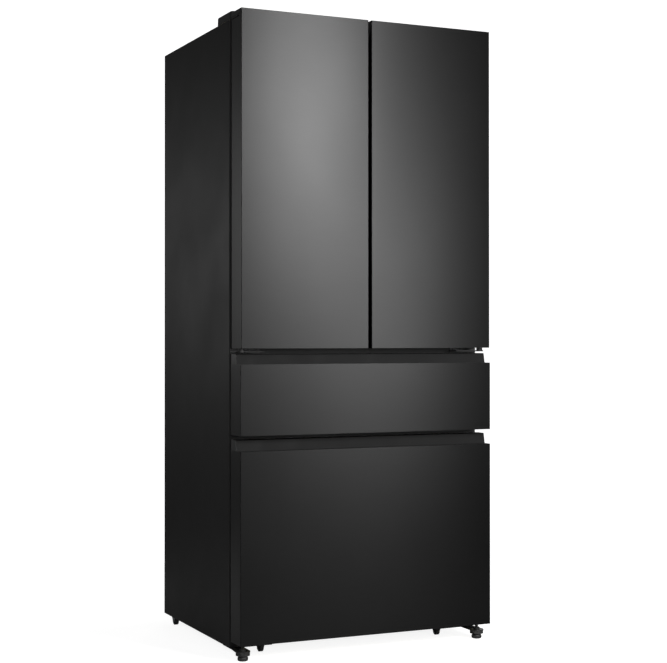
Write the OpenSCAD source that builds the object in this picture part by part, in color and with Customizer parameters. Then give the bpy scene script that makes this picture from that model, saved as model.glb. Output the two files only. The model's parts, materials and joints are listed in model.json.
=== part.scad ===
// French door refrigerator: two hinged doors above a middle drawer and a bottom freezer drawer.
// X runs left to right as seen from the front, Y from the front to the back, Z up from the floor.
// The origin is on the floor, in the middle of the whole footprint. Depths are counted from the front.

/* [Cabinet] */
// Width of the cabinet
cab_w = 794; // [770:1:830]
// Depth of the cabinet behind its front face
cab_d = 581; // [570:1:640]
// Height of the cabinet body
cab_h = 1763; // [1700:1:1840]
// Height of the cabinet's base above the floor
cab_lift = 29; // [28:0.5:33]
// Thickness of the outer sheet steel
skin_t = 1; // [0.8:0.1:1.4]
// Thickness of the plastic liners
liner_t = 2; // [1.5:0.1:3]
// Thickness of the foam in the side walls
side_foam = 46; // [40:1:52]
// Thickness of the foam in the roof
top_foam = 47; // [40:1:60]
// Thickness of the foam in the back wall
back_foam = 56; // [45:1:65]
// Thickness of the foam in the floor
floor_foam = 56; // [45:1:62]
// Thickness of the wall between the two drawer bays
low_wall_t = 41; // [36:1:50]
// Thickness of the wall between the middle drawer and the fridge
up_wall_t = 50; // [40:1:60]
// Joint line between two blocks of foam
foam_joint = 0.2; // [0.1:0.05:0.5]

/* [Fronts] */
// Thickness of the doors and drawer fronts
front_t = 75; // [70:1:80]
// Space between the fronts and the cabinet, where the gaskets sit
seal_gap = 13; // [11:0.5:16]
// Radius of the fronts' upright edges
edge_r = 4; // [3:0.5:6]
// How far each door stops short of the cabinet's side
door_inset = 2.3; // [1:0.1:5]
// Gap between the two doors
door_gap = 10; // [8:0.5:14]
// How far the doors rise above the cabinet's roof
door_rise = 16; // [14:0.5:20]
// Height of the bottom drawer panel's lower edge
drawer_z = 48; // [46:1:54]
// Height of the bottom drawer's panel
low_panel_h = 535; // [500:1:550]
// Height of the bottom drawer's grip above its panel
low_grip_h = 30; // [24:1:36]
// Gap between the bottom drawer and the middle drawer
low_gap = 13; // [8:1:18]
// Height of the middle drawer's panel
mid_panel_h = 198; // [190:1:230]
// Height of the middle drawer's grip above its panel
mid_grip_h = 28; // [24:1:36]
// Gap between the middle drawer and the doors
door_under_gap = 16; // [15:0.5:20]
// Distance from the panel's face to the foot of the grip's back wall
grip_foot_d = 32; // [28:1:36]
// How far the grip's back wall leans back by its top
grip_lean = 6; // [2:1:12]
// Depth of the finger groove behind the panel's upper edge
groove_depth = 20; // [12:1:24]
// Thickness of the lip that the fingers hook behind
grip_lip_t = 9; // [6:1:12]
// Height of the grip moulding below the panel's upper edge
grip_root = 27; // [26:1:34]
// Width of the gaskets
seal_w = 14; // [12:1:16]
// Clearance between pieces that move past each other
run_gap = 0.3; // [0.3:0.05:0.5]

/* [Door parts] */
// Height of a door's top cap
top_cap_h = 45; // [42:1:60]
// Height of a door's bottom cap
low_cap_h = 30; // [28:1:40]
// Wall thickness of the caps
cap_t = 3; // [2:0.5:4]
// Width of the raised rim around the door's inner face
dike_w = 22; // [16:1:26]
// How far the rim reaches into the cabinet from the door's inner face
dike_d = 60; // [50:1:70]
// Gap between the rim and the cabinet's side wall
dike_gap = 10; // [8:1:16]
// How far a door bin reaches back from the door's inner face
bin_d = 110; // [95:1:112]
// Height of a door bin
bin_h = 90; // [70:1:110]
// Wall thickness of bins, trays and drawers
tub_t = 3; // [2:0.5:4]
// Number of bins on each door
bin_count = 3; // [2:1:4]
// Width of the finger scoop under a door
scoop_w = 140; // [100:5:180]
// Height of the finger scoop under a door
scoop_h = 12; // [8:1:16]

/* [Hinges] */
// Distance from a door's side edge to its hinge pin
pin_in = 14; // [14:0.5:18]
// Distance from the door's face to its hinge pin
pin_d = 36; // [34:0.5:40]
// Radius of the hinge pins
pin_r = 5; // [4:0.5:6]
// Radial clearance of a pin or shaft in its hole
pin_clear = 0.05; // [0.02:0.01:0.08]
// Thickness of the hinge plates
plate_t = 3.5; // [3:0.5:4]
// Length of a hinge pin inside the door
pin_len = 20; // [14:1:22]
// Width of a hinge cover
cover_w = 75; // [65:1:90]
// Length of a hinge cover on the roof
cover_len = 121; // [105:1:140]
// Height of a hinge cover
cover_h = 25; // [22:0.5:30]
// Width of the hinge plates under the doors
low_hinge_w = 88; // [70:1:100]

/* [Mullion] */
// Width of the flip mullion's bar
mull_w = 56; // [50:1:60]
// Thickness of the flip mullion's bar
mull_t = 20; // [16:1:20]
// Distance from the middle of the cabinet to the mullion's hinge pin
mull_off = 34; // [32:1:36]
// Radius of the mullion's hinge pins
mull_pin_r = 2.5; // [2:0.25:3]

/* [Drawers] */
// Height of the freezer slides' middle line above the step over the machine compartment
low_slide_up = 30; // [28:1:48]
// Height of the middle drawer slides' middle line above the floor of their bay
mid_slide_up = 100; // [90:1:110]
// Length of the slides
slide_len = 440; // [400:5:450]
// Height of a slide's outer member
slide_h = 46; // [40:1:50]
// Width that one slide takes between the liner and the drawer
slide_w = 12.4; // [11.5:0.1:14]
// Thickness of the slides' steel
slide_t = 1.2; // [1:0.1:1.5]
// Height of the middle tub
mid_tub_h = 150; // [130:1:160]
// Height of the sliding tray above the freezer tub
tray_h = 100; // [60:1:140]
// Depth of the sliding tray from front to back
tray_d = 230; // [180:5:260]

/* [Shelves] */
// Height of the crisper shelf above the fridge floor
crisper_shelf_up = 199; // [185:1:230]
// Spacing of the shelves above the crispers
shelf_step = 205; // [180:1:215]
// Number of shelves above the crisper shelf
shelf_count = 2; // [1:1:2]
// Thickness of the shelf glass
glass_t = 4; // [3:0.5:6]
// Height of the shelf trims
trim_h = 12; // [10:1:20]
// Distance from the door face to the shelves' front edge
shelf_front_d = 208; // [204:1:230]
// Space beside a crisper, where its side guide sits
crisper_side = 26; // [24:1:34]

/* [Cooling] */
// Depth of the machine compartment behind the freezer's lower part
machine_len = 214; // [200:1:230]
// Height of the machine compartment above the base
machine_h = 233; // [225:1:240]
// Thickness of the foam around the machine compartment
step_foam = 48; // [40:1:52]
// Radius of the compressor's can
can_r = 74; // [60:1:80]
// Height of the compressor's can
can_h = 150; // [130:1:160]
// Radius of the evaporator fan's blades
fan_r = 48; // [40:1:50]
// Number of fan blades
fan_blades = 5; // [3:1:7]
// Depth of the condenser coil
condenser_d = 60; // [40:1:70]
// Width of the drip tray
drip_w = 180; // [120:5:200]
// Depth of the drip tray from front to back
drip_d = 140; // [100:5:160]
// Height of the drip tray
drip_h = 24; // [16:1:34]
// How far the machine compartment's cover stands out at the back
back_cover_d = 28; // [20:1:32]

/* [Base] */
// Radius of a levelling foot
foot_r = 15; // [13:0.5:17]
// Height of a levelling foot's knob
foot_h = 12; // [10:0.5:13]
// Distance from the cabinet's side to a levelling foot's middle
foot_in = 23; // [20:1:35]
// Distance from the drawer's face to a levelling foot's middle
foot_d = 42; // [38:1:50]
// Radius of a rear roller
rear_roller_r = 13.5; // [12:0.5:14]
// Radius of a front roller
front_roller_r = 12; // [11:0.5:12.5]
// Width of a roller
roller_w = 12; // [10:1:14]
// Distance from the cabinet's side to a front roller's middle
front_roller_in = 111; // [100:1:125]
// Distance from the cabinet's side to a rear roller's middle
rear_roller_in = 19; // [17:1:35]
// Radius of the roller axles
axle_r = 3; // [2.5:0.25:4]
// Thickness of the base's steel brackets
base_plate_t = 3; // [2.5:0.5:4]

/* [Hidden] */
$fn = 64;

eps = 1;                                   // how far a cut runs past a face
hw = cab_w / 2;                            // half the cabinet's width
bay_hw = hw - skin_t - side_foam - liner_t;  // half the clear width inside
total_d = front_t + seal_gap + cab_d + back_cover_d;
face_d = front_t + seal_gap;               // the cabinet's front face
cab_back = face_d + cab_d;
cab_top = cab_lift + cab_h;
base_t = 1.2;                              // the base sheet
bay_back = cab_back - skin_t - back_foam - liner_t;

// heights, from the floor up
low_top = drawer_z + low_panel_h + low_grip_h;
mid_z = low_top + low_gap;
mid_top = mid_z + mid_panel_h + mid_grip_h;
door_z = mid_top + door_under_gap;
door_top = cab_top + door_rise;
low_wall_z = (low_top + mid_z - low_wall_t) / 2;
up_wall_z = (mid_top + door_z - up_wall_t) / 2;
freezer_z0 = cab_lift + base_t + floor_foam + liner_t;
freezer_z1 = low_wall_z;
mid_z0 = low_wall_z + low_wall_t;
mid_z1 = up_wall_z;
fridge_z0 = up_wall_z + up_wall_t;
fridge_z1 = cab_top - skin_t - top_foam - liner_t;

// the step in the freezer's floor, over the machine compartment
machine_d0 = cab_back - machine_len;
machine_z1 = cab_lift + machine_h;
step_d = machine_d0 - step_foam - liner_t;
step_z = machine_z1 + step_foam + liner_t;

// doors, drawn on the left side
door_x0 = -hw + door_inset;
door_x1 = -door_gap / 2;
pin_x = door_x0 + pin_in;
liner_d0 = front_t - liner_t;
arm_r = 14;                                // half the width of a hinge arm at its pin
cover_x0 = -hw + 3;                        // outer side of a hinge cover
cover_wall = 2;
arm_x0 = cover_x0 + cover_wall + 0.5;      // the plate fits inside the cover
arm_x1 = arm_x0 + 38;
nose_x1 = pin_x + 16;                      // inner side of the cover's nose over the arm
nose_d0 = pin_d - 17;
nose_r = 8;
nose_z0 = cab_top + plate_t + 1;
nose_z1 = door_top + 3;
pocket_z = cab_top - 4;                    // floor of the pocket that the hinge arm turns in
pocket_d = pin_d - arm_r - 9;              // leaves room for the arm when the door is fully open
pocket_x1 = arm_x1 + 6;
under_plate_z = door_z - 11;               // underside of the hinge plates below the doors
seal_x = hw - 22;                          // outer edge of the gaskets' sides
seal_d1 = face_d - run_gap;
dike_x0 = -bay_hw + dike_gap;
dike_x1 = -mull_off - mull_t / 2 - 8;
dike_z0 = fridge_z0 + 15;
dike_z1 = fridge_z1 - 14;
bin_z0 = dike_z0 + dike_w + 4;            // the lowest bin stands just above the rim's lower side
bin_step = (dike_z1 - dike_w - bin_z0) / bin_count;

// flip mullion, drawn folded back beside the left door's rim
mull_x = -mull_off;
mull_d = face_d + mull_t / 2;
mull_root = 4;                             // from the hinge line to the bar
mull_z0 = fridge_z0 + 7;
mull_z1 = fridge_z1 - 20;
knuckle_r = 5;
knuckle_h = 18;
lug_h = 12;
lug_zs = [mull_z0 + 48, (mull_z0 + mull_z1) / 2, mull_z1 - 78];
guide_pin_r = 4;
guide_pin_h = 12;
guide_pin_seat = 10;                       // depth of the socket that the guide pin is set in
guide_pin_d = mull_d + 14;

// slides
low_slide_z = step_z + low_slide_up;
mid_slide_z = mid_z0 + mid_slide_up;
slide_d0 = face_d + 7;
link_h = slide_h - 2 * slide_t - 2 * run_gap;
inner_h = link_h - 2 * slide_t - 2 * run_gap;
side_plate_x = bay_hw - slide_w;           // outer face of a drawer's side plate
plate2_t = 2;                              // the side plate's thickness
tub_hw = side_plate_x - plate2_t - 3.5;
mid_top_rail = mid_slide_z + slide_h / 2 + 3;
low_top_rail = low_slide_z + slide_h / 2 + 3;
tub_d0 = face_d + 10;
tub_d1 = bay_back - 65;
plug_d = front_t + 12;                     // back of the plug on a drawer's inner face
mid_tub_z = mid_z0 + 12;
low_tub_z = freezer_z0 + 10;

// evaporator compartment
evap_cover_d = bay_back - 54;
fan_z = freezer_z1 - fan_r - 22;
fan_d0 = evap_cover_d + 6;
motor_r = 20;
motor_in = 24;                             // from the fan's front to its motor
fan_shaft_r = 2;
coil_tube_r = 4;
evap_fins = 24;
evap_rows = 3;                             // tubes above one another

// shelves
crisper_shelf_z = fridge_z0 + crisper_shelf_up;
shelf_zs = [for (i = [0:shelf_count]) crisper_shelf_z + i * shelf_step];
shelf_back_d = bay_back - 14;
trim_x = bay_hw - 1;
pane_x = trim_x - 8;
pane_d0 = shelf_front_d + 8;
pane_d1 = shelf_back_d - 6;
crisper_x0 = -bay_hw + crisper_side;
crisper_x1 = -8;
crisper_z1 = crisper_shelf_z - 5;
crisper_d0 = shelf_front_d + 7;
crisper_lip_in = 60;                       // from a crisper's side to its pull lip

lamp_in = 160;                             // from the cabinet's face to the lamp
lamp_len = 60;
lamp_hw = 90;

// machine compartment
condenser_in = 40;                         // space between the condenser and the side wall
condenser_can_gap = 60;                    // space between the condenser and the compressor
condenser_back = 44;
condenser_drop = 60;                       // space above the condenser
condenser_lift = 12;                       // height of its fins above the base sheet
condenser_fins = 20;
condenser_rows = 4;
can_x = bay_hw - 183;
can_d = machine_d0 + machine_len / 2;
can_z = cab_lift + base_t + 12;
inlet_x = -bay_hw + 98;
inlet_z = cab_lift + 45;
inlet_r = 8;                               // hole for the supply lead's bush
cover_sheet = 1.2;
rim_seam = 0.3;                            // seam between the cover's sheet and the strips of its rim
rim_back = cab_back + back_cover_d - cover_sheet - rim_seam;
rim_lip = 14;
rim_foot = 6;                              // the lower strip's lip

// base
bracket_z0 = cab_lift - 5;
cup_z0 = cab_lift - 14;                    // rim of the cup over a foot's knob
stem_r = 5;
foot_x = hw - foot_in;
front_roller_x = hw - front_roller_in;
rear_roller_x = hw - rear_roller_in;
front_roller_d = face_d + 43;
front_roller_up = 1;                       // the front rollers hang clear while the feet are down
rear_roller_d = cab_back - 56;
cheek_t = 2;
fork_hw = roller_w / 2 + run_gap + cheek_t / 2;  // from a roller's middle to the middle of a cheek

module slab(x0, x1, d0, d1, z0, z1) {
    translate([x0, d0 - total_d / 2, z0]) cube([x1 - x0, d1 - d0, z1 - z0]);
}

module both_sides() {
    children();
    mirror([1, 0, 0]) children();
}

// Draws a left-hand part on the side given, -1 for left and 1 for right
module on_side(side) {
    mirror([side > 0 ? 1 : 0, 0, 0]) children();
}

module upright(x, d, r, z0, z1) {
    translate([x, d - total_d / 2, z0]) cylinder(r = r, h = z1 - z0);
}

module rod_x(x0, x1, d, z, r) {
    translate([x0, d - total_d / 2, z]) rotate([0, 90, 0]) cylinder(r = r, h = x1 - x0);
}

module rod_y(x, d0, d1, z, r) {
    translate([x, d0 - total_d / 2, z]) rotate([-90, 0, 0]) cylinder(r = r, h = d1 - d0);
}

// Extrudes an outline of [depth, height] points across the width
module profile_x(x0, x1, points) {
    translate([x0, -total_d / 2, 0]) rotate([90, 0, 90]) linear_extrude(x1 - x0) polygon(points);
}

// A frame seen from the front, w wide all round
module frame(x0, x1, z0, z1, w, d0, d1) {
    difference() {
        slab(x0, x1, d0, d1, z0, z1);
        slab(x0 + w, x1 - w, d0 - eps, d1 + eps, z0 + w, z1 - w);
    }
}

module open_box(x0, x1, d0, d1, z0, z1, t) {
    difference() {
        slab(x0, x1, d0, d1, z0, z1);
        slab(x0 + t, x1 - t, d0 + t, d1 - t, z0 + t, z1 + eps);
    }
}

// Plan of a door or drawer front: square at the back, rounded at the two front edges
module front_plan(x0, x1, d0, d1, r) {
    translate([x0, d0 - total_d / 2]) {
        translate([r, r]) circle(r);
        translate([x1 - x0 - r, r]) circle(r);
        translate([r, 0]) square([x1 - x0 - 2 * r, r]);
        translate([0, r]) square([x1 - x0, d1 - d0 - r]);
    }
}

module front_block(x0, x1, inset, d1, z0, z1) {
    translate([0, 0, z0]) linear_extrude(z1 - z0)
        front_plan(x0 + inset, x1 - inset, inset, d1, edge_r - inset);
}

module front_skin(x0, x1, z0, z1) {
    difference() {
        front_block(x0, x1, 0, liner_d0, z0, z1);
        front_block(x0, x1, skin_t, liner_d0 + eps, z0 - eps, z1 + eps);
    }
}

// ---- cabinet ----

module cabinet_shell() {
    color("#232425") {
        difference() {
            slab(-hw, hw, face_d, cab_back, cab_lift, cab_top);
            slab(-hw + skin_t, hw - skin_t, face_d + skin_t, cab_back + eps,
                cab_lift - eps, cab_top - skin_t);
            slab(-bay_hw - liner_t, bay_hw + liner_t, face_d - eps, face_d + skin_t + eps,
                freezer_z0 - liner_t, fridge_z1 + liner_t);
        }
        for (wall = [[low_wall_z, low_wall_t], [up_wall_z, up_wall_t]])
            slab(-bay_hw - liner_t, bay_hw + liner_t, face_d, face_d + skin_t,
                wall[0] + liner_t, wall[0] + wall[1] - liner_t);
        both_sides() slab(-hw, -bay_hw - liner_t, cab_back - skin_t, cab_back, cab_lift, machine_z1);
    }
}

module rear_panel() {
    color("#8d9093")
        slab(-hw + skin_t, hw - skin_t, cab_back - skin_t, cab_back, machine_z1, cab_top - skin_t);
}

// The base sheet, with the two forks that hold the rear rollers' axles
module base_pan() {
    color("#77797b") {
        slab(-hw + skin_t, hw - skin_t, face_d + skin_t, cab_back - skin_t, cab_lift, cab_lift + base_t);
        both_sides() roller_fork(-rear_roller_x, rear_roller_d, rear_roller_r);
    }
}

// Two cheeks and an axle that hold a roller, with the axle's middle at x, d and z
module roller_fork(x, d, z) {
    for (s = [-1, 1])
        translate([x - cheek_t / 2 + s * fork_hw, -total_d / 2, 0])
            rotate([90, 0, 90]) linear_extrude(cheek_t) fork_outline(d, z);
    rod_x(x - fork_hw, x + fork_hw, d, z, axle_r);
}

// Side view of a cheek: wide at the base, narrow at the axle
module fork_outline(d, z) {
    end_r = axle_r + 4;
    top_w = 36;
    polygon([[d - top_w / 2, cab_lift], [d + top_w / 2, cab_lift], [d + end_r, z], [d - end_r, z]]);
    translate([d, z]) circle(end_r);
}

module cabinet_insulation() {
    foam_x = bay_hw + liner_t;             // inner face of the side blocks
    in_x = foam_x - foam_joint;
    d0 = face_d + skin_t;
    d1 = cab_back - skin_t;
    z0 = cab_lift + base_t;
    back_d = bay_back + liner_t;
    color("#e6d9a8") {
        both_sides() slab(-hw + skin_t, -foam_x, d0, d1, z0, cab_top - skin_t);
        slab(-in_x, in_x, d0, d1, fridge_z1 + liner_t, cab_top - skin_t);
        slab(-in_x, in_x, back_d, d1, step_z, fridge_z1 + liner_t - foam_joint);
        slab(-in_x, in_x, d0, machine_d0, z0, freezer_z0 - liner_t);
        slab(-in_x, in_x, step_d + liner_t, machine_d0, freezer_z0 - liner_t + foam_joint, step_z - liner_t);
        slab(-in_x, in_x, machine_d0 + foam_joint, d1, machine_z1, step_z - liner_t);
        slab(-in_x, in_x, d0, back_d - foam_joint, low_wall_z + liner_t, low_wall_z + low_wall_t - liner_t);
        slab(-in_x, in_x, d0, back_d - foam_joint, up_wall_z + liner_t, up_wall_z + up_wall_t - liner_t);
    }
}

module bay_liner(z0, z1) {
    difference() {
        slab(-bay_hw - liner_t, bay_hw + liner_t, face_d, bay_back + liner_t, z0 - liner_t, z1 + liner_t);
        slab(-bay_hw, bay_hw, face_d - eps, bay_back, z0, z1);
    }
}

// The fridge's liner, with the moulded ledges that carry the shelves
module fridge_liner() {
    color("#eceeef") {
        bay_liner(fridge_z0, fridge_z1);
        both_sides() for (z = shelf_zs)
            slab(-bay_hw - liner_t / 2, -bay_hw + 10, shelf_front_d + 12, shelf_back_d, z - 8, z);
    }
}

module drawer_bay_liners() {
    color("#eceeef") {
        bay_liner(mid_z0, mid_z1);
        difference() {
            profile_x(-bay_hw - liner_t, bay_hw + liner_t, freezer_outline(liner_t, face_d));
            profile_x(-bay_hw, bay_hw, freezer_outline(0, face_d - eps));
        }
    }
}

function freezer_outline(out, d0) = [
    [d0, freezer_z0 - out], [step_d + out, freezer_z0 - out], [step_d + out, step_z - out],
    [bay_back + out, step_z - out], [bay_back + out, freezer_z1 + out], [d0, freezer_z1 + out]
];

// ---- inside the fridge ----

module shelf_pane(z) {
    slab(-pane_x, pane_x, pane_d0, pane_d1, z + trim_h - 2 - glass_t, z + trim_h - 2);
}

module glass_shelves() {
    color("#cfe3e0", 0.4) for (z = shelf_zs) shelf_pane(z);
}

// Frames around the glass, and the crispers' middle wall and side guides
module shelf_trims() {
    color("#d9dcde") {
        for (z = shelf_zs)
            difference() {
                slab(-trim_x, trim_x, shelf_front_d, shelf_back_d, z, z + trim_h);
                slab(-pane_x + 8, pane_x - 8, pane_d0 + 8, pane_d1 - 8, z - eps, z + trim_h + eps);
                shelf_pane(z);
            }
        slab(-2.5, 2.5, shelf_front_d + 6, shelf_back_d, fridge_z0, crisper_shelf_z - foam_joint);
        both_sides()
            slab(-bay_hw, crisper_x0 - 2, shelf_front_d + 12, shelf_back_d,
                crisper_shelf_z - 24, crisper_shelf_z - 8);
    }
}

module crisper() {
    color("#dfe7ea", 0.6) {
        open_box(crisper_x0, crisper_x1, crisper_d0, shelf_back_d, fridge_z0 + run_gap, crisper_z1, tub_t);
        slab(crisper_x0 + crisper_lip_in, crisper_x1 - crisper_lip_in, crisper_d0 - 6, crisper_d0 + eps,
            crisper_z1 - 14, crisper_z1);
    }
}

module left_crisper() crisper();

module right_crisper() on_side(1) crisper();

module air_duct_cover() {
    duct_hw = 90;
    duct_d = 12;
    wall = 3;
    slot_h = 6;
    slot_step = 16;
    slot_up = 90;                          // from a shelf to its lowest slot
    z0 = crisper_shelf_z + 25;
    z1 = fridge_z1 - 8;
    color("#e2e5e7") difference() {
        slab(-duct_hw, duct_hw, bay_back - duct_d, bay_back, z0, z1);
        slab(-duct_hw + wall, duct_hw - wall, bay_back - duct_d + wall, bay_back + eps,
            z0 + wall, z1 - wall);
        for (z = shelf_zs, k = [0:2])
            slab(-duct_hw + 20, duct_hw - 20, bay_back - duct_d - eps, bay_back - duct_d + wall + eps,
                z + slot_up + k * slot_step, z + slot_up + k * slot_step + slot_h);
    }
}

module lamp_lens() {
    lens_t = 6;
    d0 = face_d + lamp_in;
    color("#f4f4ee")
        slab(-lamp_hw, lamp_hw, d0, d0 + lamp_len, fridge_z1 - lens_t, fridge_z1);
}

// The block that flips the mullion: open at the front, so that the mullion's top pin comes out
module mullion_guide() {
    color("#d9dcde") difference() {
        slab(mull_x - 30, mull_x + 55, face_d + 3, face_d + 46, dike_z1 + 2, fridge_z1);
        slab(mull_x - 16, mull_x + 24, face_d, face_d + 34, dike_z1, mull_z1 + guide_pin_h + 4);
    }
}

// ---- cooling ----

// Tubes through a stack of fins and two end plates that stand between foot_z and z1
module finned_coil(x0, x1, d0, d1, z0, z1, foot_z, fin_count, rows) {
    fin_t = 1;
    end_t = 2;
    margin = 12;
    fin_step = (x1 - x0 - 2 * margin) / (fin_count - 1);
    tube_zs = [for (i = [0:rows - 1]) z0 + (i + 0.5) * (z1 - z0) / rows];
    difference() {
        union() {
            for (i = [0:fin_count - 1]) {
                x = x0 + margin + i * fin_step;
                slab(x - fin_t / 2, x + fin_t / 2, d0, d1, z0, z1);
            }
            for (x = [x0, x1 - end_t]) slab(x, x + end_t, d0, d1, foot_z, z1);
        }
        for (z = tube_zs) rod_x(x0 - eps, x1 + eps, (d0 + d1) / 2, z, coil_tube_r + pin_clear);
    }
    for (z = tube_zs) rod_x(x0, x1, (d0 + d1) / 2, z, coil_tube_r);
}

// Coil across the back of the freezer, on end plates that stand on the step
module evaporator() {
    coil_hw = bay_hw - 50;
    d0 = evap_cover_d + 8;
    z0 = step_z + 12;
    z1 = fan_z - fan_r - 26;
    color("#b4b8bb")
        finned_coil(-coil_hw, coil_hw, d0, bay_back - run_gap, z0, z1, step_z, evap_fins, evap_rows);
}

// The panel in front of the coil, with the fan's ring and its motor on three arms
module evaporator_cover() {
    ring_r = fan_r + 4;
    motor_d0 = fan_d0 + motor_in;
    color("#dfe2e4") {
        difference() {
            union() {
                slab(-bay_hw + 1, bay_hw - 1, evap_cover_d, evap_cover_d + 2, step_z, freezer_z1);
                rod_y(0, evap_cover_d, motor_d0 + 6, fan_z, ring_r + 3);
            }
            rod_y(0, evap_cover_d + 4, motor_d0 + 6 + eps, fan_z, ring_r);
            for (a = [0:30:330], r = [18, 30, 42])
                translate([r * cos(a), evap_cover_d - total_d / 2 - eps, fan_z + r * sin(a)])
                    rotate([-90, 0, 0]) cylinder(r = 3, h = 6 + eps);
        }
        rod_y(0, motor_d0, bay_back - 2, fan_z, motor_r);
        rod_y(0, fan_d0 + 2, motor_d0 + 1, fan_z, fan_shaft_r);
        for (a = [30, 150, 270])
            translate([0, motor_d0 + 2 - total_d / 2, fan_z]) rotate([0, a, 0])
                translate([-4, 0, motor_r - 2]) cube([8, 3, ring_r - motor_r + 3]);
    }
}

module evaporator_fan() {
    hub_r = 14;
    hub_h = 17;
    color("#3a3d40") translate([0, fan_d0 - total_d / 2, fan_z]) rotate([-90, 0, 0]) difference() {
        union() {
            cylinder(r = hub_r, h = hub_h);
            for (i = [0:fan_blades - 1])
                rotate([0, 0, i * 360 / fan_blades]) translate([hub_r - 3, 0, hub_h / 2]) rotate([32, 0, 0])
                    translate([0, -11, -0.8]) cube([fan_r - hub_r, 22, 1.6]);
        }
        translate([0, 0, -eps]) cylinder(r = fan_shaft_r + pin_clear, h = hub_h + 2 * eps);
    }
}

module compressor() {
    dome = 34;                             // height of the rounded shoulder
    seat_r = 30;                           // flat top that the drip tray stands on
    color("#1c1d1e") {
        translate([can_x, can_d - total_d / 2, can_z]) rotate_extrude() {
            square([can_r, can_h - dome]);
            translate([0, can_h - dome]) square([seat_r, dome]);
            translate([0, can_h - dome]) difference() {
                translate([seat_r, 0]) circle(dome);
                translate([-can_r, -dome]) square([can_r, 2 * dome]);
                translate([-can_r, -2 * dome]) square([3 * can_r, 2 * dome]);
            }
        }
        slab(can_x - can_r - 12, can_x + can_r + 12, can_d - 50, can_d + 50, can_z - 3, can_z + 1);
        for (sx = [-1, 1], sy = [-1, 1])
            upright(can_x + sx * (can_r + 2), can_d + sy * 40, 9, cab_lift + base_t, can_z - 2);
        slab(can_x + can_r - 6, can_x + can_r + 16, can_d - 24, can_d + 24, can_z + 40, can_z + 100);
    }
}

// Coil beside the compressor, on end plates that stand on the base sheet
module condenser() {
    x0 = -bay_hw + condenser_in;
    x1 = can_x - can_r - condenser_can_gap;
    d1 = cab_back - condenser_back;
    z0 = cab_lift + base_t;
    z1 = machine_z1 - condenser_drop;
    color("#2b2d2f")
        finned_coil(x0, x1, d1 - condenser_d, d1, z0 + condenser_lift, z1, z0,
            condenser_fins, condenser_rows);
}

module drip_tray() {
    color("#d5d7d8")
        open_box(can_x - drip_w / 2, can_x + drip_w / 2, can_d - drip_d / 2, can_d + drip_d / 2,
            can_z + can_h, can_z + can_h + drip_h, liner_t);
}

// Louvred sheet over the machine compartment, on a rim of four folded strips
module machine_cover() {
    half = bay_hw - 6;
    z0 = cab_lift + 8;
    z1 = machine_z1 - 4;
    back = cab_back + back_cover_d;
    slot_w = 55;
    slot_h = 6;
    slot_step = 75;
    row_step = 20;
    slots_z = z0 + 88;
    slot_count = floor((2 * half - 80) / slot_step);
    slots_x = (slot_step - slot_w - slot_count * slot_step) / 2;
    color("#3b3d3f") {
        difference() {
            slab(-half, half, back - cover_sheet, back, z0, z1);
            for (k = [0:slot_count - 1], i = [0:4]) {
                x = slots_x + k * slot_step;
                z = slots_z + i * row_step;
                slab(x, x + slot_w, back - cover_sheet - eps, back + eps, z, z + slot_h);
            }
            rod_y(inlet_x, cab_back, back + eps, inlet_z, inlet_r + pin_clear);
        }
        both_sides() rim_side(half, z0 + cover_sheet + rim_seam, z1 - cover_sheet - rim_seam);
        rim_rail(half, z0, z0 - rim_foot, z0 + cover_sheet);
        rim_rail(half, z1 - cover_sheet, z1 - cover_sheet, z1 + rim_lip);
    }
}

// Folded strip along the rim's left side: a wall, and a lip that is screwed to the cabinet
module rim_side(half, z0, z1) {
    slab(-half, -half + cover_sheet, cab_back, rim_back, z0, z1);
    slab(-half - rim_lip, -half + cover_sheet, cab_back, cab_back + cover_sheet, z0, z1);
}

// Folded strip along the rim's top or bottom, with its wall at wall_z and its lip from z0 to z1
module rim_rail(half, wall_z, z0, z1) {
    slab(-half, half, cab_back, rim_back, wall_z, wall_z + cover_sheet);
    slab(-half - rim_lip, half + rim_lip, cab_back, cab_back + cover_sheet, z0, z1);
}

// The bush that the supply lead goes in through
module mains_inlet() {
    lead_r = 4;
    bush_len = 10;
    back = cab_back + back_cover_d;
    color("#141414") difference() {
        union() {
            rod_y(inlet_x, back - bush_len, back, inlet_z, inlet_r);
            rod_y(inlet_x, back - bush_len, back - cover_sheet, inlet_z, inlet_r + 3);
        }
        rod_y(inlet_x, back - bush_len - eps, back + eps, inlet_z, lead_r);
    }
}

// ---- hinges ----

// Plates on the roof whose arms turn in pockets in the doors' top caps
module roof_hinge() {
    color("#5b5e61") {
        translate([0, 0, cab_top]) linear_extrude(plate_t) {
            translate([pin_x, pin_d - total_d / 2]) circle(arm_r);
            translate([arm_x0, pin_d - total_d / 2]) square([arm_x1 - arm_x0, face_d + 100 - pin_d]);
        }
        upright(pin_x, pin_d, pin_r, pocket_z - pin_len, cab_top + 1);
    }
}

// Plates in the gap under the doors, with the pins that the doors stand on
module under_hinge() {
    plate_z = under_plate_z;
    x0 = -hw + 2;
    x1 = x0 + low_hinge_w;
    color("#2a2b2c") {
        translate([0, -total_d / 2, plate_z]) linear_extrude(plate_t) {
            translate([pin_x, pin_d]) circle(arm_r - 2);
            polygon([[x0, face_d], [x0, pin_d], [pin_x - arm_r + 2, pin_d], [pin_x + arm_r, pin_d],
                [x1, pin_d + 12], [x1, face_d]]);
        }
        slab(x0, x1, face_d - plate_t, face_d, mid_top + 1.5, door_z - 1.5);
        upright(pin_x, pin_d, pin_r + 4, plate_z + 1, door_z - run_gap);
        upright(pin_x, pin_d, pin_r, plate_z + 1, door_z + pin_len);
    }
}

module door_hinges() {
    both_sides() {
        roof_hinge();
        under_hinge();
    }
}

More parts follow.
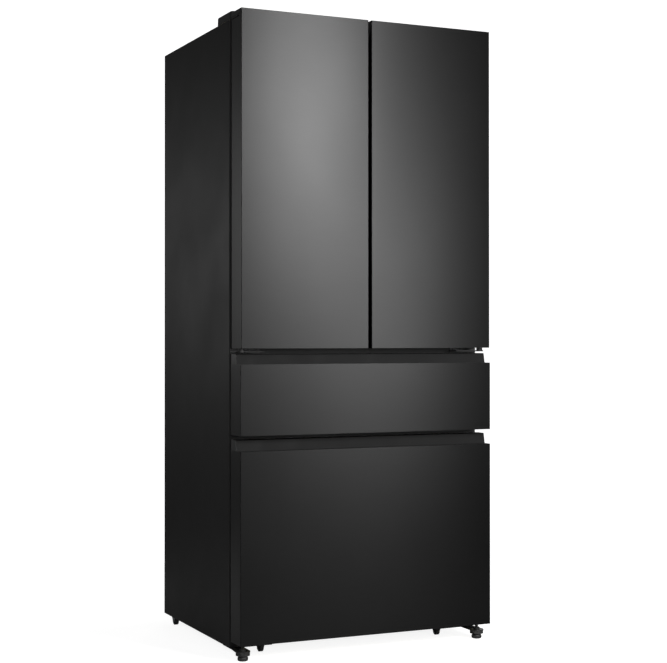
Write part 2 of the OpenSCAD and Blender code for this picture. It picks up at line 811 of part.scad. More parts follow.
// Covers on the roof, each with a nose that reaches over the hinge's arm
module hinge_covers() {
    x0 = cover_x0;
    x1 = x0 + cover_w;
    d0 = face_d - 6;
    d1 = d0 + cover_len;
    wall = cover_wall;
    corner_r = 6;
    color("#1b1c1d") both_sides() {
        difference() {
            union() {
                cover_block(x0, x1, d0, d1, cab_top, cab_top + cover_h, corner_r);
                cover_block(arm_x0, nose_x1, nose_d0, d0 + corner_r, nose_z0, nose_z1, nose_r);
            }
            cover_block(x0 + wall, x1 - wall, d0 + wall, d1 - wall, cab_top - eps, cab_top + cover_h - wall,
                corner_r - wall);
            cover_block(arm_x0 + wall, nose_x1 - wall, nose_d0 + wall, d0 + wall / 2, nose_z0 - eps,
                nose_z1 - wall, nose_r - wall);
            slab(arm_x0 - run_gap, arm_x1 + 1, d0 - eps, d0 + corner_r, cab_top - eps, nose_z0);
        }
    }
}

module cover_block(x0, x1, d0, d1, z0, z1, r) {
    translate([0, -total_d / 2, z0]) linear_extrude(z1 - z0) cover_plan(x0, x1, d0, d1, r);
}

// Rounded rectangle in plan
module cover_plan(x0, x1, d0, d1, r) {
    for (x = [x0 + r, x1 - r], d = [d0 + r, d1 - r]) translate([x, d]) circle(r);
    translate([x0, d0 + r]) square([x1 - x0, d1 - d0 - 2 * r]);
    translate([x0 + r, d0]) square([x1 - x0 - 2 * r, d1 - d0]);
}

module cabinet_screws() {
    head_r = 4.5;
    head_h = 2.5;
    color("#6d7073") {
        both_sides() for (d = [face_d + 30, face_d + 80])
            upright(pin_x + 6, d, head_r, cab_top + plate_t, cab_top + plate_t + head_h);
        both_sides() for (x = [pin_x + 40, pin_x + 64])
            rod_y(x, face_d - plate_t - head_h, face_d - plate_t, under_plate_z + plate_t + 3, 2.5);
        both_sides() for (z = [cab_lift + 60, machine_z1 - 50])
            rod_y(-bay_hw, cab_back + cover_sheet, cab_back + cover_sheet + head_h, z, head_r);
        for (s = [-1:1])
            rod_y(s * (bay_hw - 108), cab_back + cover_sheet, cab_back + cover_sheet + head_h,
                machine_z1 + 4, head_r);
        both_sides() for (z = [cab_top - 20, (cab_top + machine_z1) / 2, machine_z1 + 60])
            rod_y(-hw + 14, cab_back, cab_back + head_h, z, head_r);
    }
}

// ---- base ----

// Brackets under the cabinet's front edge: each holds a levelling foot and a roller's fork
module base_brackets() {
    z1 = bracket_z0 + base_plate_t;
    nut_z1 = z1 + 6;
    cup_r = foot_r + 6;
    x0 = -hw + 6;
    x1 = -front_roller_x + 24;
    d0 = face_d + 12;
    d1 = face_d + 66;
    slot_d = front_roller_r + 3;
    color("#2a2b2c") both_sides() {
        difference() {
            union() {
                translate([0, -total_d / 2, bracket_z0]) linear_extrude(base_plate_t) {
                    translate([-foot_x, foot_d]) circle(cup_r);
                    polygon([[-foot_x - cup_r, foot_d], [-foot_x + cup_r, foot_d], [-foot_x + cup_r, d0],
                        [x1, d0], [x1, d1], [x0, d1], [x0, face_d]]);
                }
                difference() {
                    upright(-foot_x, foot_d, cup_r - 1, cup_z0, bracket_z0 + 1);
                    upright(-foot_x, foot_d, cup_r - 1 - base_plate_t, cup_z0 - eps, bracket_z0 - 1);
                }
                for (d = [d0, d1 - base_plate_t])
                    slab(x0, x1, d, d + base_plate_t, bracket_z0, cab_lift);
                upright(-foot_x, foot_d, 9, bracket_z0, nut_z1);
            }
            upright(-foot_x, foot_d, stem_r + pin_clear, cup_z0, nut_z1 + eps);
            slab(-front_roller_x - fork_hw, -front_roller_x + fork_hw,
                front_roller_d - slot_d, front_roller_d + slot_d, bracket_z0 - eps, z1 + eps);
        }
        roller_fork(-front_roller_x, front_roller_d, front_roller_r + front_roller_up);
    }
}

module left_foot() {
    color("#1e1f20") {
        upright(-foot_x, foot_d, foot_r, 0, foot_h);
        upright(-foot_x, foot_d, stem_r, foot_h - 1, bracket_z0 + base_plate_t + 12);
    }
}

module right_foot() on_side(1) left_foot();

module roller(x, d, r, lift) {
    difference() {
        rod_x(x - roller_w / 2, x + roller_w / 2, d, r + lift, r);
        rod_x(x - roller_w / 2 - eps, x + roller_w / 2 + eps, d, r + lift, axle_r + pin_clear);
    }
}

module front_rollers() {
    color("#242526") both_sides() roller(-front_roller_x, front_roller_d, front_roller_r, front_roller_up);
}

module rear_rollers() {
    color("#242526") both_sides() roller(-rear_roller_x, rear_roller_d, rear_roller_r, 0);
}

// ---- doors ----

module hinge_pocket() {
    slab(door_x0 - eps, pocket_x1, pocket_d, front_t + eps, pocket_z, door_top + eps);
}

module door_skin() {
    color("#4a4b4c") difference() {
        front_skin(door_x0, door_x1, door_z, door_top);
        hinge_pocket();
    }
}

module door_caps() {
    boss_x1 = pocket_x1 + cap_t;
    inner_x1 = door_x1 - skin_t - cap_t;
    inner_d0 = skin_t + cap_t;
    inner_d1 = liner_d0 - cap_t;
    scoop_x1 = door_x1 - 24;
    scoop_x0 = scoop_x1 - scoop_w;
    color("#1f2021") {
        difference() {
            front_block(door_x0, door_x1, skin_t, liner_d0, door_top - top_cap_h, door_top);
            slab(boss_x1, inner_x1, inner_d0, inner_d1, door_top - top_cap_h - eps, door_top - cap_t);
            hinge_pocket();
            upright(pin_x, pin_d, pin_r + pin_clear, pocket_z - pin_len - 1, pocket_z + eps);
        }
        difference() {
            front_block(door_x0, door_x1, skin_t, liner_d0, door_z, door_z + low_cap_h);
            slab(boss_x1, scoop_x0 - cap_t, inner_d0, inner_d1, door_z + cap_t, door_z + low_cap_h + eps);
            slab(scoop_x0, scoop_x1, 24, liner_d0 - 8, door_z - eps, door_z + scoop_h);
            upright(pin_x, pin_d, pin_r + pin_clear, door_z - eps, door_z + pin_len + 1);
        }
    }
}

module door_foam() {
    color("#e6d9a8")
        front_block(door_x0, door_x1, skin_t, liner_d0, door_z + low_cap_h, door_top - top_cap_h);
}

module door_liner() {
    color("#eceeef") {
        difference() {
            slab(door_x0, door_x1, liner_d0, front_t, door_z, door_top);
            hinge_pocket();
        }
        frame(dike_x0, dike_x1, dike_z0, dike_z1, dike_w, liner_d0 + liner_t / 2, front_t + dike_d);
    }
}

module door_gasket() {
    color("#3a3b3c")
        frame(-seal_x, door_x1 - 3, door_z + 2, cab_top - 20, seal_w, front_t, seal_d1);
}

module door_bins() {
    color("#dfe7ea", 0.6) for (i = [0:bin_count - 1])
        open_box(dike_x0 + dike_w, dike_x1 - dike_w, front_t, front_t + bin_d,
            bin_z0 + i * bin_step, bin_z0 + i * bin_step + bin_h, tub_t);
}

module left_door_skin() door_skin();

module left_door_caps() door_caps();

module left_door_foam() door_foam();

// The left door's liner also holds the three lugs and pins that the mullion turns on
module left_door_liner() {
    door_liner();
    color("#eceeef") for (z = lug_zs) {
        slab(dike_x1 - 1, mull_x, mull_d - knuckle_r, mull_d + knuckle_r, z, z + lug_h);
        upright(mull_x, mull_d, knuckle_r, z, z + lug_h);
        upright(mull_x, mull_d, mull_pin_r, z + lug_h - 1, z + lug_h + knuckle_h - 2);
    }
}

module left_door_gasket() door_gasket();

module left_door_bins() door_bins();

module right_door_skin() on_side(1) door_skin();

module right_door_caps() on_side(1) door_caps();

module right_door_foam() on_side(1) door_foam();

module right_door_liner() on_side(1) door_liner();

module right_door_gasket() on_side(1) door_gasket();

module right_door_bins() on_side(1) door_bins();

// The hinged bar, and the steel pin set in its upper end
module flip_mullion() {
    bar_d0 = mull_d + mull_root;
    seat_z = mull_z1 - guide_pin_seat;
    color("#56595c") difference() {
        union() {
            slab(mull_x - mull_t / 2, mull_x + mull_t / 2, bar_d0, bar_d0 + mull_w, mull_z0, mull_z1);
            for (z = lug_zs) {
                slab(mull_x - 4, mull_x + 4, mull_d, bar_d0 + 2, z + lug_h + run_gap, z + lug_h + knuckle_h);
                upright(mull_x, mull_d, knuckle_r, z + lug_h + run_gap, z + lug_h + knuckle_h);
            }
        }
        upright(mull_x, guide_pin_d, guide_pin_r + pin_clear, seat_z, mull_z1 + eps);
        for (z = lug_zs) {
            slab(mull_x - mull_t, mull_x + mull_t, mull_d - knuckle_r, bar_d0 + 5,
                z - 1, z + lug_h + run_gap);
            upright(mull_x, mull_d, mull_pin_r + pin_clear, z + lug_h - 1, z + lug_h + knuckle_h + eps);
        }
    }
    color("#8d9093")
        upright(mull_x, guide_pin_d, guide_pin_r, seat_z + pin_clear, mull_z1 + guide_pin_h);
}

// ---- drawer fronts ----

module drawer_skin(z0, panel_h) {
    color("#3c3d3e") front_skin(-hw, hw, z0, z0 + panel_h);
}

// Full-width grip: a lip behind the panel's upper edge, a finger groove, and a leaning back wall
module drawer_grip(z0, panel_h, grip_h) {
    zp = z0 + panel_h;
    zr = zp - grip_root;
    z1 = zp + grip_h;
    color("#1f2021") difference() {
        profile_x(-hw, hw, [
            [skin_t, zr], [liner_d0, zr], [liner_d0, z1], [grip_foot_d + grip_lean, z1], [grip_foot_d, zp],
            [grip_foot_d, zp - groove_depth], [grip_lip_t, zp - groove_depth], [grip_lip_t, zp], [skin_t, zp]
        ]);
        // the panel's own returns fill these corners
        difference() {
            slab(-hw - eps, hw + eps, -eps, liner_d0 + eps, zr - eps, zp);
            front_block(-hw, hw, skin_t, liner_d0 + 2 * eps, zr - 2 * eps, zp + eps);
        }
    }
}

module drawer_foam(z0, panel_h) {
    color("#e6d9a8") front_block(-hw, hw, skin_t, liner_d0, z0 + skin_t, z0 + panel_h - grip_root);
}

// Inner face of a drawer front, with a shallow hollow plug inside the gasket
module drawer_liner(z0, z1, bay_z0, bay_z1) {
    plug_hw = seal_x - seal_w - 34;
    color("#eceeef") difference() {
        union() {
            slab(-hw, hw, liner_d0, front_t, z0, z1);
            slab(-plug_hw, plug_hw, liner_d0, plug_d, bay_z0 + 12, bay_z1 - 12);
        }
        slab(-plug_hw + liner_t, plug_hw - liner_t, liner_d0 - eps, plug_d - liner_t,
            bay_z0 + 12 + liner_t, bay_z1 - 12 - liner_t);
    }
}

module drawer_gasket(z0, z1) {
    color("#3a3b3c") frame(-seal_x, seal_x, z0, z1, seal_w, front_t, seal_d1);
}

// ---- slides ----

// Channel with its web at x0 and its flanges towards the middle, on the left side
module channel(x0, x1, h, z, d0, d1) {
    difference() {
        slab(x0, x1, d0, d1, z - h / 2, z + h / 2);
        slab(x0 + slide_t, x1 + eps, d0 - eps, d1 + eps, z - h / 2 + slide_t, z + h / 2 - slide_t);
    }
}

module outer_slides() {
    color("#a3a7aa") both_sides() for (z = [low_slide_z, mid_slide_z])
        channel(-bay_hw, -side_plate_x - run_gap, slide_h, z, slide_d0, slide_d0 + slide_len);
}

module slide_links(z) {
    color("#a3a7aa") both_sides()
        channel(-bay_hw + slide_t + run_gap, -side_plate_x - run_gap, link_h, z,
            slide_d0 + 2, slide_d0 + slide_len - 2);
}

// Inner members with the side plates that carry a tub, screwed to the drawer front
module drawer_runners(z, rail_z) {
    foot = 24;
    plate_x = -side_plate_x;
    plate_z0 = z - inner_h / 2;
    color("#a3a7aa") both_sides() {
        difference() {
            slab(-bay_hw + 2 * (slide_t + run_gap) + 1, plate_x, slide_d0 + 4, slide_d0 + slide_len - 4,
                z - inner_h / 2, z + inner_h / 2);
            slab(-bay_hw, plate_x - slide_t, slide_d0, slide_d0 + slide_len,
                z - inner_h / 2 + slide_t, z + inner_h / 2 - slide_t);
        }
        slab(plate_x, plate_x + plate2_t, front_t, slide_d0 + slide_len - 4, plate_z0, rail_z);
        slab(plate_x - foot, plate_x + plate2_t, front_t, front_t + plate2_t, plate_z0, rail_z);
    }
}

// Side rims that hang a tub on the drawer's side plates
module tub_rims(rail_z) {
    both_sides() slab(-side_plate_x - 2, -tub_hw + 1, tub_d0, tub_d1, rail_z, rail_z + tub_t);
}

// ---- middle drawer ----

module middle_drawer_skin() drawer_skin(mid_z, mid_panel_h);

module middle_drawer_grip() drawer_grip(mid_z, mid_panel_h, mid_grip_h);

module middle_drawer_foam() drawer_foam(mid_z, mid_panel_h);

module middle_drawer_liner() drawer_liner(mid_z, mid_top, mid_z0, mid_z1);

module middle_drawer_gasket() drawer_gasket(mid_z + 2, mid_top - 2);

module middle_drawer_runners() drawer_runners(mid_slide_z, mid_top_rail);

module middle_slide_links() slide_links(mid_slide_z);

module middle_tub() {
    color("#dfe7ea", 0.6) {
        open_box(-tub_hw, tub_hw, tub_d0, tub_d1, mid_tub_z, mid_tub_z + mid_tub_h, tub_t);
        tub_rims(mid_top_rail);
    }
}

// ---- bottom drawer ----

module bottom_drawer_skin() drawer_skin(drawer_z, low_panel_h);

module bottom_drawer_grip() drawer_grip(drawer_z, low_panel_h, low_grip_h);

module bottom_drawer_foam() drawer_foam(drawer_z, low_panel_h);

module bottom_drawer_liner() drawer_liner(drawer_z, low_top, freezer_z0, freezer_z1);

module bottom_drawer_gasket() drawer_gasket(drawer_z + 14, low_top - 2);

module bottom_drawer_runners() drawer_runners(low_slide_z, low_top_rail);

module bottom_slide_links() slide_links(low_slide_z);

// The freezer tub is deep in front and shallow over the machine compartment's step
module bottom_tub() {
    deep_d = step_d - 8;
    step_up = step_z + 8;
    rim_z = low_top_rail + tub_t;
    color("#dfe7ea", 0.6) {
        difference() {
            profile_x(-tub_hw, tub_hw, [
                [tub_d0, low_tub_z], [deep_d, low_tub_z], [deep_d, step_up], [tub_d1, step_up],
                [tub_d1, rim_z], [tub_d0, rim_z]
            ]);
            profile_x(-tub_hw + tub_t, tub_hw - tub_t, [
                [tub_d0 + tub_t, low_tub_z + tub_t], [deep_d - tub_t, low_tub_z + tub_t],
                [deep_d - tub_t, step_up + tub_t], [tub_d1 - tub_t, step_up + tub_t],
                [tub_d1 - tub_t, rim_z + eps], [tub_d0 + tub_t, rim_z + eps]
            ]);
        }
        tub_rims(low_top_rail);
    }
}

// Half-depth tray that slides to and fro on the freezer tub's rims
module sliding_tray() {
    z0 = low_top_rail + tub_t + run_gap;
    d0 = tub_d0 + 4;
    color("#dfe7ea", 0.6) {
        open_box(-tub_hw + 5, tub_hw - 5, d0, d0 + tray_d, z0, z0 + tray_h, tub_t);
        both_sides() slab(-side_plate_x - 2, -tub_hw + 6, d0, d0 + tray_d, z0, z0 + tub_t);
    }
}

cabinet_shell();
rear_panel();
base_pan();
cabinet_insulation();
fridge_liner();
drawer_bay_liners();
glass_shelves();
shelf_trims();
air_duct_cover();
lamp_lens();
evaporator();
evaporator_cover();
evaporator_fan();
compressor();
condenser();
drip_tray();
machine_cover();
mains_inlet();
door_hinges();
hinge_covers();
base_brackets();
mullion_guide();
outer_slides();
cabinet_screws();
left_door_skin();
left_door_caps();
left_door_foam();
left_door_liner();
left_door_gasket();
left_door_bins();
right_door_skin();
right_door_caps();
right_door_foam();
right_door_liner();
right_door_gasket();
right_door_bins();
flip_mullion();
middle_drawer_skin();
middle_drawer_grip();
middle_drawer_foam();
middle_drawer_liner();
middle_drawer_gasket();
middle_tub();
middle_drawer_runners();
middle_slide_links();
bottom_drawer_skin();
bottom_drawer_grip();
bottom_drawer_foam();
bottom_drawer_liner();
bottom_drawer_gasket();
bottom_tub();
bottom_drawer_runners();
bottom_slide_links();
sliding_tray();
left_crisper();
right_crisper();
left_foot();
right_foot();
front_rollers();
rear_rollers();
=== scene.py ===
import json
import math
from types import SimpleNamespace

import bmesh
import bpy
from mathutils import Euler, Matrix, Vector

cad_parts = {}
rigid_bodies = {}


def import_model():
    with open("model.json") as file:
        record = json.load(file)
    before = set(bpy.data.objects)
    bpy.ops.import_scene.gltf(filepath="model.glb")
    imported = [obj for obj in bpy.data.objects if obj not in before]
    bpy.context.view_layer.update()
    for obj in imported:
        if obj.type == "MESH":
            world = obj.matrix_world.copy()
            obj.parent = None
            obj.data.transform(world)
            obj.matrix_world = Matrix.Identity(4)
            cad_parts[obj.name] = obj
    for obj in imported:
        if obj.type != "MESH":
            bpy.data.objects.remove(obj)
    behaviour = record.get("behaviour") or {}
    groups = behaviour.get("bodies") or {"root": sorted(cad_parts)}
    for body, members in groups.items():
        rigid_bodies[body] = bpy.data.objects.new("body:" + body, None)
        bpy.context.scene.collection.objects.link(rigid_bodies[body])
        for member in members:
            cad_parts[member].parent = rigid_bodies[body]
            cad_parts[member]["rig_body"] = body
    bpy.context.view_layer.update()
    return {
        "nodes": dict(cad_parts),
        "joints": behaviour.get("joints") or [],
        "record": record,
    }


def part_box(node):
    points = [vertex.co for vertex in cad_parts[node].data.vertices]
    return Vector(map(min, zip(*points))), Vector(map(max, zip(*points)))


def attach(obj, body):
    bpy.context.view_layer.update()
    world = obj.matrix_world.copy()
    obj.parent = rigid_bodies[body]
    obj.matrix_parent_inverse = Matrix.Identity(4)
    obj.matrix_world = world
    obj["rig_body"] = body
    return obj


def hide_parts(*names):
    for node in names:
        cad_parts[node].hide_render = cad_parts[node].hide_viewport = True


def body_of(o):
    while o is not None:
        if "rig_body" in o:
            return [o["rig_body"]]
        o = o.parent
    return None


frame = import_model()
mm = 0.001
leastCorner = 0.4 * mm  # a ring's corners never get sharper than this
print("frame loaded")


# camera, lights, floor and backdrop

studio = {
    "cameraPlace": (-1.847, -4.1235, 0.893),
    "cameraTurn": (90.308, 0.011, -24.637),  # degrees
    "lens": 79.2,
    "airLevel": 0.05,
    "floorFront": 1.3,  # how far the floor reaches from the middle: to the front, the back and either side
    "floorBack": 1.5,
    "floorSide": 1.6,
    "backdropAway": 6.5,
    "backdropWidth": 7.0,
    "backdropFoot": -2.0,
    "backdropHeight": 5.0,
}

softboxes = [
    # name, place, what it points at, width, height, watts
    ("keySoftbox", (1.0, -3.05, 1.9), (-0.1, -0.35, 1.5), 0.35, 0.8, 53),
    ("highSoftbox", (0.85, -3.05, 2.4), (-0.25, -0.35, 2.0), 0.35, 0.8, 20),
    ("lowSoftbox", (1.35, -3.0, 1.15), (0.25, -0.35, 0.7), 0.5, 0.9, 30),
    ("middleSoftbox", (-0.1, -4.5, 1.5), (0.0, -0.35, 1.1), 0.6, 1.6, 28),
    ("cameraSoftbox", (-1.95, -4.4, 1.4), (0.0, -0.35, 1.1), 0.6, 1.6, 40),
    ("topSoftbox", (1.4, -0.4, 4.2), (0.0, 0.0, 0.9), 2.2, 2.2, 28),
    ("leftSoftbox", (-2.8, -2.15, 1.9), (-0.4, -0.3, 1.5), 0.9, 1.0, 16),
    ("sideGlow", (-2.2, 2.9, 1.35), (-0.4, -0.1, 1.15), 0.5, 1.0, 7),
    ("rearSoftbox", (1.6, 4.4, 2.4), (0.0, 0.3, 0.9), 1.8, 1.8, 35),
    ("rightSoftbox", (4.2, 0.6, 1.8), (0.4, 0.0, 0.9), 1.6, 1.6, 30),
]


def toLinear(hexColour):
    channels = [int(hexColour[i:i + 2], 16) / 255 for i in (1, 3, 5)]
    return [c / 12.92 if c <= 0.04045 else ((c + 0.055) / 1.055) ** 2.4 for c in channels] + [1.0]


def addNode(tree, kind, values=None, wires=None, **settings):
    node = tree.nodes.new(kind)
    for key, value in settings.items():
        setattr(node, key, value)
    for socket, value in (values or {}).items():
        node.inputs[socket].default_value = value
    for socket, source in (wires or {}).items():
        tree.links.new(source, node.inputs[socket])
    return node


def linked(name, data):
    thing = bpy.data.objects.new(name, data)
    bpy.context.scene.collection.objects.link(thing)
    return thing


def makeCamera():
    data = bpy.data.cameras.new("camera")
    data.lens = studio["lens"]
    data.sensor_width = 36
    camera = linked("camera", data)
    camera.location = studio["cameraPlace"]
    camera.rotation_euler = Euler([math.radians(a) for a in studio["cameraTurn"]])
    bpy.context.scene.camera = camera


def makeLights():
    for name, place, target, width, height, watts in softboxes:
        data = bpy.data.lights.new(name, "AREA")
        data.shape = "RECTANGLE"
        data.size = width
        data.size_y = height
        data.energy = watts
        light = linked(name, data)
        light.location = place
        light.rotation_euler = (Vector(target) - Vector(place)).to_track_quat("-Z", "Y").to_euler()
        light.visible_camera = False
    world = bpy.data.worlds.new("studioAir")
    world.use_nodes = True
    air = world.node_tree.nodes["Background"]
    air.inputs["Color"].default_value = (1, 1, 1, 1)
    path = addNode(world.node_tree, "ShaderNodeLightPath")
    # white to the camera, and a dim room to the steel and the lamps' shadows
    level = addNode(world.node_tree, "ShaderNodeMath", {1: studio["airLevel"]},
                    {0: path.outputs["Is Camera Ray"]}, operation="MAXIMUM")
    world.node_tree.links.new(level.outputs[0], air.inputs["Strength"])
    bpy.context.scene.world = world
    bpy.context.scene.view_settings.view_transform = "Standard"


# Matt paper: lit like any surface, and paler where the camera looks at it, and where metal or glass does
def paperMaterial(name, diffuse, seenGlow, mirroredGlow):
    material = bpy.data.materials.new(name)
    material.use_nodes = True
    tree = material.node_tree
    tree.nodes.clear()
    path = addNode(tree, "ShaderNodeLightPath")
    bounced = addNode(tree, "ShaderNodeMath", operation="ADD", use_clamp=True,
                      wires={0: path.outputs["Is Glossy Ray"], 1: path.outputs["Is Transmission Ray"]})
    mirrored = addNode(tree, "ShaderNodeMath", {1: mirroredGlow}, {0: bounced.outputs[0]},
                       operation="MULTIPLY")
    strength = addNode(tree, "ShaderNodeMath", {1: seenGlow}, operation="MULTIPLY_ADD",
                       wires={0: path.outputs["Is Camera Ray"], 2: mirrored.outputs[0]})
    paper = addNode(tree, "ShaderNodeBsdfDiffuse", {"Color": toLinear(diffuse)})
    light = addNode(tree, "ShaderNodeEmission", {"Color": (1, 1, 1, 1)}, {"Strength": strength.outputs[0]})
    both = addNode(tree, "ShaderNodeAddShader", wires={0: paper.outputs[0], 1: light.outputs[0]})
    addNode(tree, "ShaderNodeOutputMaterial", wires={"Surface": both.outputs[0]})
    return material


def stagePlane(name, corners, material):
    mesh = bpy.data.meshes.new(name)
    mesh.from_pydata(corners, [], [(0, 1, 2, 3)])
    mesh.materials.append(material)
    linked(name, mesh)


def makeStage():
    away = studio["backdropAway"]
    front, back, reach = -studio["floorFront"], studio["floorBack"], studio["floorSide"]
    floor = [(-reach, front, 0), (reach, front, 0), (reach, back, 0), (-reach, back, 0)]
    stagePlane("floor", floor, paperMaterial("floorPaper", "#b4b4b4", 0.88, 0.03))
    # the backdrop covers what the camera sees behind the refrigerator
    half, foot, top = studio["backdropWidth"] / 2, studio["backdropFoot"], studio["backdropHeight"]
    place, turn = studio["cameraPlace"], math.radians(studio["cameraTurn"][2])
    middle = place[0] - (away - place[1]) * math.tan(turn)
    x0, x1 = middle - half, middle + half
    wall = [(x0, away, foot), (x1, away, foot), (x1, away, top), (x0, away, top)]
    stagePlane("backdrop", wall, paperMaterial("backdropPaper", "#f2f2f2", 1.0, 1.0))


makeCamera()
makeLights()
makeStage()
print("studio ready")


# finishes

# A noise pattern on the piece, with grains of the size given in millimetres along X, Y and Z
def grain(tree, sizes, detail):
    spot = addNode(tree, "ShaderNodeTexCoord")
    stretch = addNode(tree, "ShaderNodeMapping", {"Scale": [1 / (s * mm) for s in sizes]},
                      {"Vector": spot.outputs["Object"]})
    return addNode(tree, "ShaderNodeTexNoise", {"Scale": 1.0, "Detail": detail},
                   {"Vector": stretch.outputs["Vector"]}).outputs["Fac"]


# Lets a pattern move the base colour between two shades
def shadeBetween(tree, shader, pattern, dark, light, start=0.35, end=0.65):
    ramp = addNode(tree, "ShaderNodeValToRGB", wires={"Fac": pattern})
    for stop, position, colour in zip(ramp.color_ramp.elements, (start, end), (dark, light)):
        stop.position = position
        stop.color = toLinear(colour)
    tree.links.new(ramp.outputs["Color"], shader.inputs["Base Color"])


# Lets a pattern move the roughness between two levels
def roughBetween(tree, shader, pattern, low, high):
    spread = addNode(tree, "ShaderNodeMapRange",
                     {"From Min": 0.3, "From Max": 0.7, "To Min": low, "To Max": high}, {"Value": pattern})
    tree.links.new(spread.outputs["Result"], shader.inputs["Roughness"])


# Lets a pattern stand out of the surface by a height in millimetres
def emboss(tree, shader, pattern, height, strength=1.0):
    bump = addNode(tree, "ShaderNodeBump", {"Distance": height * mm, "Strength": strength},
                   {"Height": pattern})
    tree.links.new(bump.outputs["Normal"], shader.inputs["Normal"])


effectOf = {"shade": shadeBetween, "rough": roughBetween, "height": emboss}


def makeFinish(name, colour, sockets, grains):
    material = bpy.data.materials.new(name)
    material.use_nodes = True
    material.diffuse_color = toLinear(colour)
    tree = material.node_tree
    shader = tree.nodes["Principled BSDF"]
    for socket, value in {"Base Color": toLinear(colour), **sockets}.items():
        shader.inputs[socket].default_value = value
    for sizes, detail, effects in grains:
        pattern = grain(tree, sizes, detail)
        for effect, values in effects.items():
            effectOf[effect](tree, shader, pattern, *values)
    return material


# Each finish: the material's name and colour, the shader's constants, and its patterns. A pattern has the
# size of its grains along X, Y and Z in millimetres, its detail, and what it moves: the shade between two
# colours, the roughness between two levels, or the surface by a height in millimetres and a strength.
finishMake = {
    # sheet brushed across under a dark coat; real hairlines are 0.05 mm, drawn coarser so that they show
    "frontSteel": ("blackStainless", "#202020",
                   {"Metallic": 1, "Roughness": 0.31, "Anisotropic": 0.72, "Anisotropic Rotation": 0.25},
                   [((60, 60, 0.6), 2, {"shade": ("#1f1f1f", "#212121", 0.3, 0.7)}),
                    ((160, 160, 240), 2, {"rough": (0.305, 0.318)})]),
    # painted sheet with a fine orange-peel skin that spreads the shine
    "sideSteel": ("powderCoat", "#171717", {"Roughness": 0.5, "IOR": 1.3},
                  [((1.6, 1.6, 1.6), 2, {"height": (0.05, 0.6)}),
                   ((180, 180, 180), 2, {"shade": ("#161616", "#191919"), "rough": (0.47, 0.54)})]),
    # its crystals are added below
    "zinc": ("galvanisedSteel", "#8d9093", {"Metallic": 0.9, "Roughness": 0.45}, []),
    # pressed brackets with a dull, faintly mottled coat
    "bracket": ("blackPhosphate", "#383838", {"Metallic": 0.75, "Roughness": 0.5},
                [((7, 7, 7), 3, {"shade": ("#303030", "#434343"), "rough": (0.42, 0.6)})]),
    # drawn slide members, bright, with long draw lines
    "slide": ("zincPlate", "#a8acb0", {"Metallic": 1, "Roughness": 0.3},
              [((1.2, 80, 1.2), 2, {"shade": ("#9ea2a6", "#b3b7ba"), "rough": (0.24, 0.4),
                                    "height": (0.01,)})]),
    # rigid cream foam, with open cells where it was cut
    "foam": ("polyurethaneFoam", "#e0d3a4", {"Roughness": 0.9},
             [((1.5, 1.5, 1.5), 3, {"shade": ("#d2c391", "#eadfb6"), "height": (0.4,)})]),
    # white vacuum-formed liner, satin gloss with a soft ripple
    "liner": ("formedPolystyrene", "#e4e7e8", {"Roughness": 0.28, "IOR": 1.59},
              [((26, 26, 26), 1, {"height": (0.12, 0.5)}),
               ((120, 120, 120), 1, {"shade": ("#e0e3e5", "#e8ebec"), "rough": (0.25, 0.33)})]),
    # light grey trims with a fine spark-eroded grain
    "trim": ("greyAbs", "#c9cdd0", {"Roughness": 0.42, "IOR": 1.54},
             [((0.7, 0.7, 0.7), 2, {"shade": ("#c4c8cb", "#ced2d4"), "height": (0.02,)})]),
    # black caps and covers with a spark-eroded grain
    "dark": ("blackAbs", "#202020", {"Roughness": 0.48, "IOR": 1.54},
             [((0.8, 0.8, 0.8), 2, {"height": (0.03,)}),
              ((60, 60, 60), 1, {"shade": ("#1d1d1d", "#242424"), "rough": (0.44, 0.54)})]),
    # black grips with a deep matt grain that hardly shines
    "grip": ("mattAbs", "#151515", {"Roughness": 0.6, "IOR": 1.54, "Specular IOR Level": 0.08},
             [((1.4, 1.4, 1.4), 3, {"height": (0.06,)}),
              ((50, 50, 50), 1, {"shade": ("#131313", "#181818"), "rough": (0.55, 0.66)})]),
    # injection-moulded bins and drawers, glassy with faint flow lines
    "clear": ("clearPolystyrene", "#e9f1f3", {"Roughness": 0.06, "IOR": 1.59, "Transmission Weight": 0.82},
              [((40, 40, 12), 2, {"rough": (0.04, 0.1), "height": (0.03, 0.4)})]),
    # clear with a green cast
    "glass": ("temperedGlass", "#dcefe8", {"Roughness": 0.02, "IOR": 1.52, "Transmission Weight": 0.95},
              [((150, 150, 150), 1, {"height": (0.02, 0.3)})]),
    # grey gaskets, matt and slightly dusty
    "gasket": ("softPvc", "#5c5c5c", {"Roughness": 0.6},
               [((18, 18, 18), 3, {"shade": ("#555555", "#646464"), "rough": (0.52, 0.68)})]),
    # roller treads and compressor feet
    "rubber": ("blackRubber", "#1e1e1f", {"Roughness": 0.7},
               [((1.2, 1.2, 1.2), 2, {"shade": ("#1a1a1b", "#252526"), "height": (0.05,)})]),
    # thin rolled fins and bent tube
    "fins": ("millAluminium", "#b9bdc0", {"Metallic": 1, "Roughness": 0.38},
             [((30, 1, 30), 2, {"shade": ("#b0b4b7", "#c3c7c9"), "rough": (0.3, 0.46)})]),
    # thick black paint on the compressor and the condenser
    "enamel": ("blackEnamel", "#161718", {"Roughness": 0.3},
               [((8, 8, 20), 2, {"shade": ("#131415", "#1b1c1d"), "rough": (0.24, 0.4),
                                 "height": (0.1, 0.5)})]),
    # milky polycarbonate of the lamp's lens
    "lens": ("opalLens", "#f4f3ea", {"Roughness": 0.25, "IOR": 1.58, "Transmission Weight": 0.35},
             [((2, 2, 2), 1, {"height": (0.03,)})]),
    # refrigerant tubes, dulled by handling
    "copper": ("dullCopper", "#b87a55", {"Metallic": 1, "Roughness": 0.35},
               [((12, 12, 12), 3, {"shade": ("#9c6343", "#c48a64"), "rough": (0.28, 0.5)})]),
}
finishes = {use: makeFinish(*make) for use, make in finishMake.items()}


